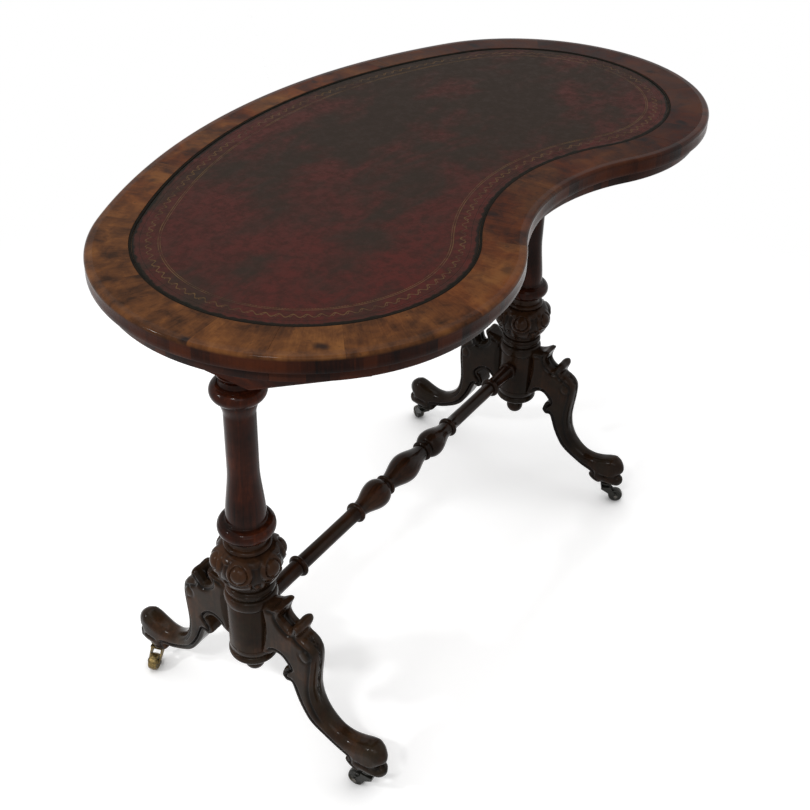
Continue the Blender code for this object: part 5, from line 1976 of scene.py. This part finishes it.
@dataclass(frozen=True)
class Studio:
    """Plain pale floor, soft lamps, white surroundings and the camera."""

    floor_half: float = 40.0
    floor_grey: Colour = (0.80, 0.80, 0.80)
    shadow_end: float = 0.62
    white_start: float = 1.4
    shadow_fill: float = 0.52
    contact: float = 0.26
    lamps: tuple[Lamp, ...] = (
        Lamp("key", (-1.7, -1.3, 1.9), 9.0, 1.2),
        Lamp("window", (-1.9, 1.3, 1.5), 17.0, 0.09, 2.6),
        Lamp("high_window", (-2.0, -0.5, 2.3), 19.0, 0.08, 4.5),
        Lamp("top", (0.1, 0.5, 2.9), 26.0, 2.2),
        Lamp("fill", (1.8, -1.6, 1.4), 8.0, 2.0),
    )
    dim: float = 0.36
    lens: float = 51.745
    shift: Pair = (0.0275, -0.0988)
    camera_at: tuple[float, float, float] = (-1.0983, -0.7053, 1.2821)
    yaw: float = 55.7746
    pitch: float = -32.572
    roll: float = 1.044

    def floor(self) -> None:
        """Floor that keeps the desk's soft shadow, with a painted shadow near the legs, and is white
        away from it.
        """
        half = self.floor_half
        points = np.array([(-half, -half, 0), (half, -half, 0), (half, half, 0), (-half, half, 0)])
        mesh = mesh_of("floor", points, [[0, 1, 2, 3]])
        shade = Shading("floor")
        x, y, _ = shade.axes(shade.point())
        away = shade.distance(x, y)
        plain = shade.step(away, self.shadow_end, self.white_start)
        # Painted shadow: the floor's glow dims where ambient occlusion finds the desk close.
        near = shade.node("AmbientOcclusion")
        near.samples = 12
        near.inputs["Distance"].default_value = self.contact
        open_share = shade.step(near.outputs["AO"], 0.35, 1.0)
        fill = shade.step(away, self.shadow_end, self.white_start, self.shadow_fill, 1.0)
        fill = shade.times(fill, open_share)
        shade.set(Base_Color=shade.blend(plain, self.floor_grey, (0.0, 0.0, 0.0)), Roughness=1.0,
                  Specular_IOR_Level=0.0, Emission_Color=(1.0, 1.0, 1.0),
                  Emission_Strength=shade.times(fill, shade.seen()))
        mesh.materials.append(shade.material)
        linked("floor", mesh)

    def surroundings(self) -> None:
        """White to the eye and in reflections, and a dim even light otherwise."""
        shade = Shading("studio", world=True)
        strength = shade.node("MapRange", shade.seen(), 0.0, 1.0, self.dim, 1.0).outputs[0]
        shade.set(Color=(1.0, 1.0, 1.0), Strength=strength)
        bpy.context.scene.world = shade.material

    def camera(self) -> None:
        """Camera at the photo's place."""
        data = bpy.data.cameras.new("camera")
        data.lens, data.sensor_width = self.lens, 36.0
        data.shift_x, data.shift_y = self.shift
        data.clip_start, data.clip_end = 0.05, 200.0
        made = linked("camera", data)
        aim = Matrix.Rotation(math.radians(-self.yaw), 4, "Z")
        aim = aim @ Matrix.Rotation(math.pi / 2 + math.radians(self.pitch), 4, "X")
        aim = aim @ Matrix.Rotation(math.radians(self.roll), 4, "Z")
        made.matrix_world = Matrix.Translation(self.camera_at) @ aim
        bpy.context.scene.camera = made

    def build(self) -> None:
        """Sets up everything round the desk."""
        self.floor()
        self.surroundings()
        for lamp in self.lamps:
            lamp.build()
        self.camera()
        bpy.context.scene.view_settings.view_transform = "Standard"


def dress(node: str, finish: bpy.types.Material, slot: Slot) -> None:
    """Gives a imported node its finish."""
    obj = bpy.data.objects[node]
    obj.data.materials.clear()
    obj.data.materials.append(finish)
    LOG.info("%s: %d faces", node, len(obj.data.polygons))


def main() -> None:
    """Builds the looks of the desk from top to floor."""
    logging.basicConfig(level=logging.INFO, format="%(message)s")
    top = Top()
    girth = float(lengths(top.shape.outline(top.moulding))[-1])
    top.edge(EdgeVeneer("edge_veneer", length=girth).build())
    top.friezes(EdgeVeneer("frieze_veneer", length=girth).build())
    top.crossbands(BurrVeneer("crossband_veneer", length=girth).build())
    string = Mottled("string", display(9, 10, 8), display(26, 21, 15), scale=140.0,
                     rough_low=0.5, rough_high=0.7, shine=0.02)
    top.stringing(string.build())
    top.leather(TooledLeather("tooled_leather").build())
    softwood = Mottled("softwood", display(84, 58, 36), display(140, 104, 66), (6.0, 90.0, 90.0),
                       1.0, 0.6, 0.8)
    top.board(softwood.build())
    polished = PolishedWalnut("polished_walnut", figure=0.38).build()
    carved = PolishedWalnut("carved_walnut", figure=0.24, dark=display(21, 14, 9),
                            middle=display(45, 28, 18), light=display(76, 48, 30)).build()
    plain = PolishedWalnut("plain_walnut", Grain.FORWARD, dull=0.45).build()
    brass = AgedBrass("aged_brass").build()
    iron = Mottled("dull_iron", display(60, 57, 54), display(110, 106, 100), scale=300.0,
                   metal=0.9).build()
    for side in Side:
        Column(side).build(polished, carved)
        dress("bearer_" + side.label, plain, Slot.WALNUT)
        for number in range(1, 5):
            dress("bearer_screw_%s_%d" % (side.label, number), iron, Slot.IRON)
        for end in End:
            Leg(side, end).build(carved)
            Castor(side, end).build(brass, iron)
            dress("castor_fork_%s_%s" % (side.label, end.label), brass, Slot.BRASS)
    lying = PolishedWalnut("polished_rail", Grain.LONG, dark=display(20, 12, 8),
                           middle=display(43, 23, 14), light=display(72, 40, 24)).build()
    Stretcher().build(lying)
    Studio().build()


if __name__ == "__main__":
    main()
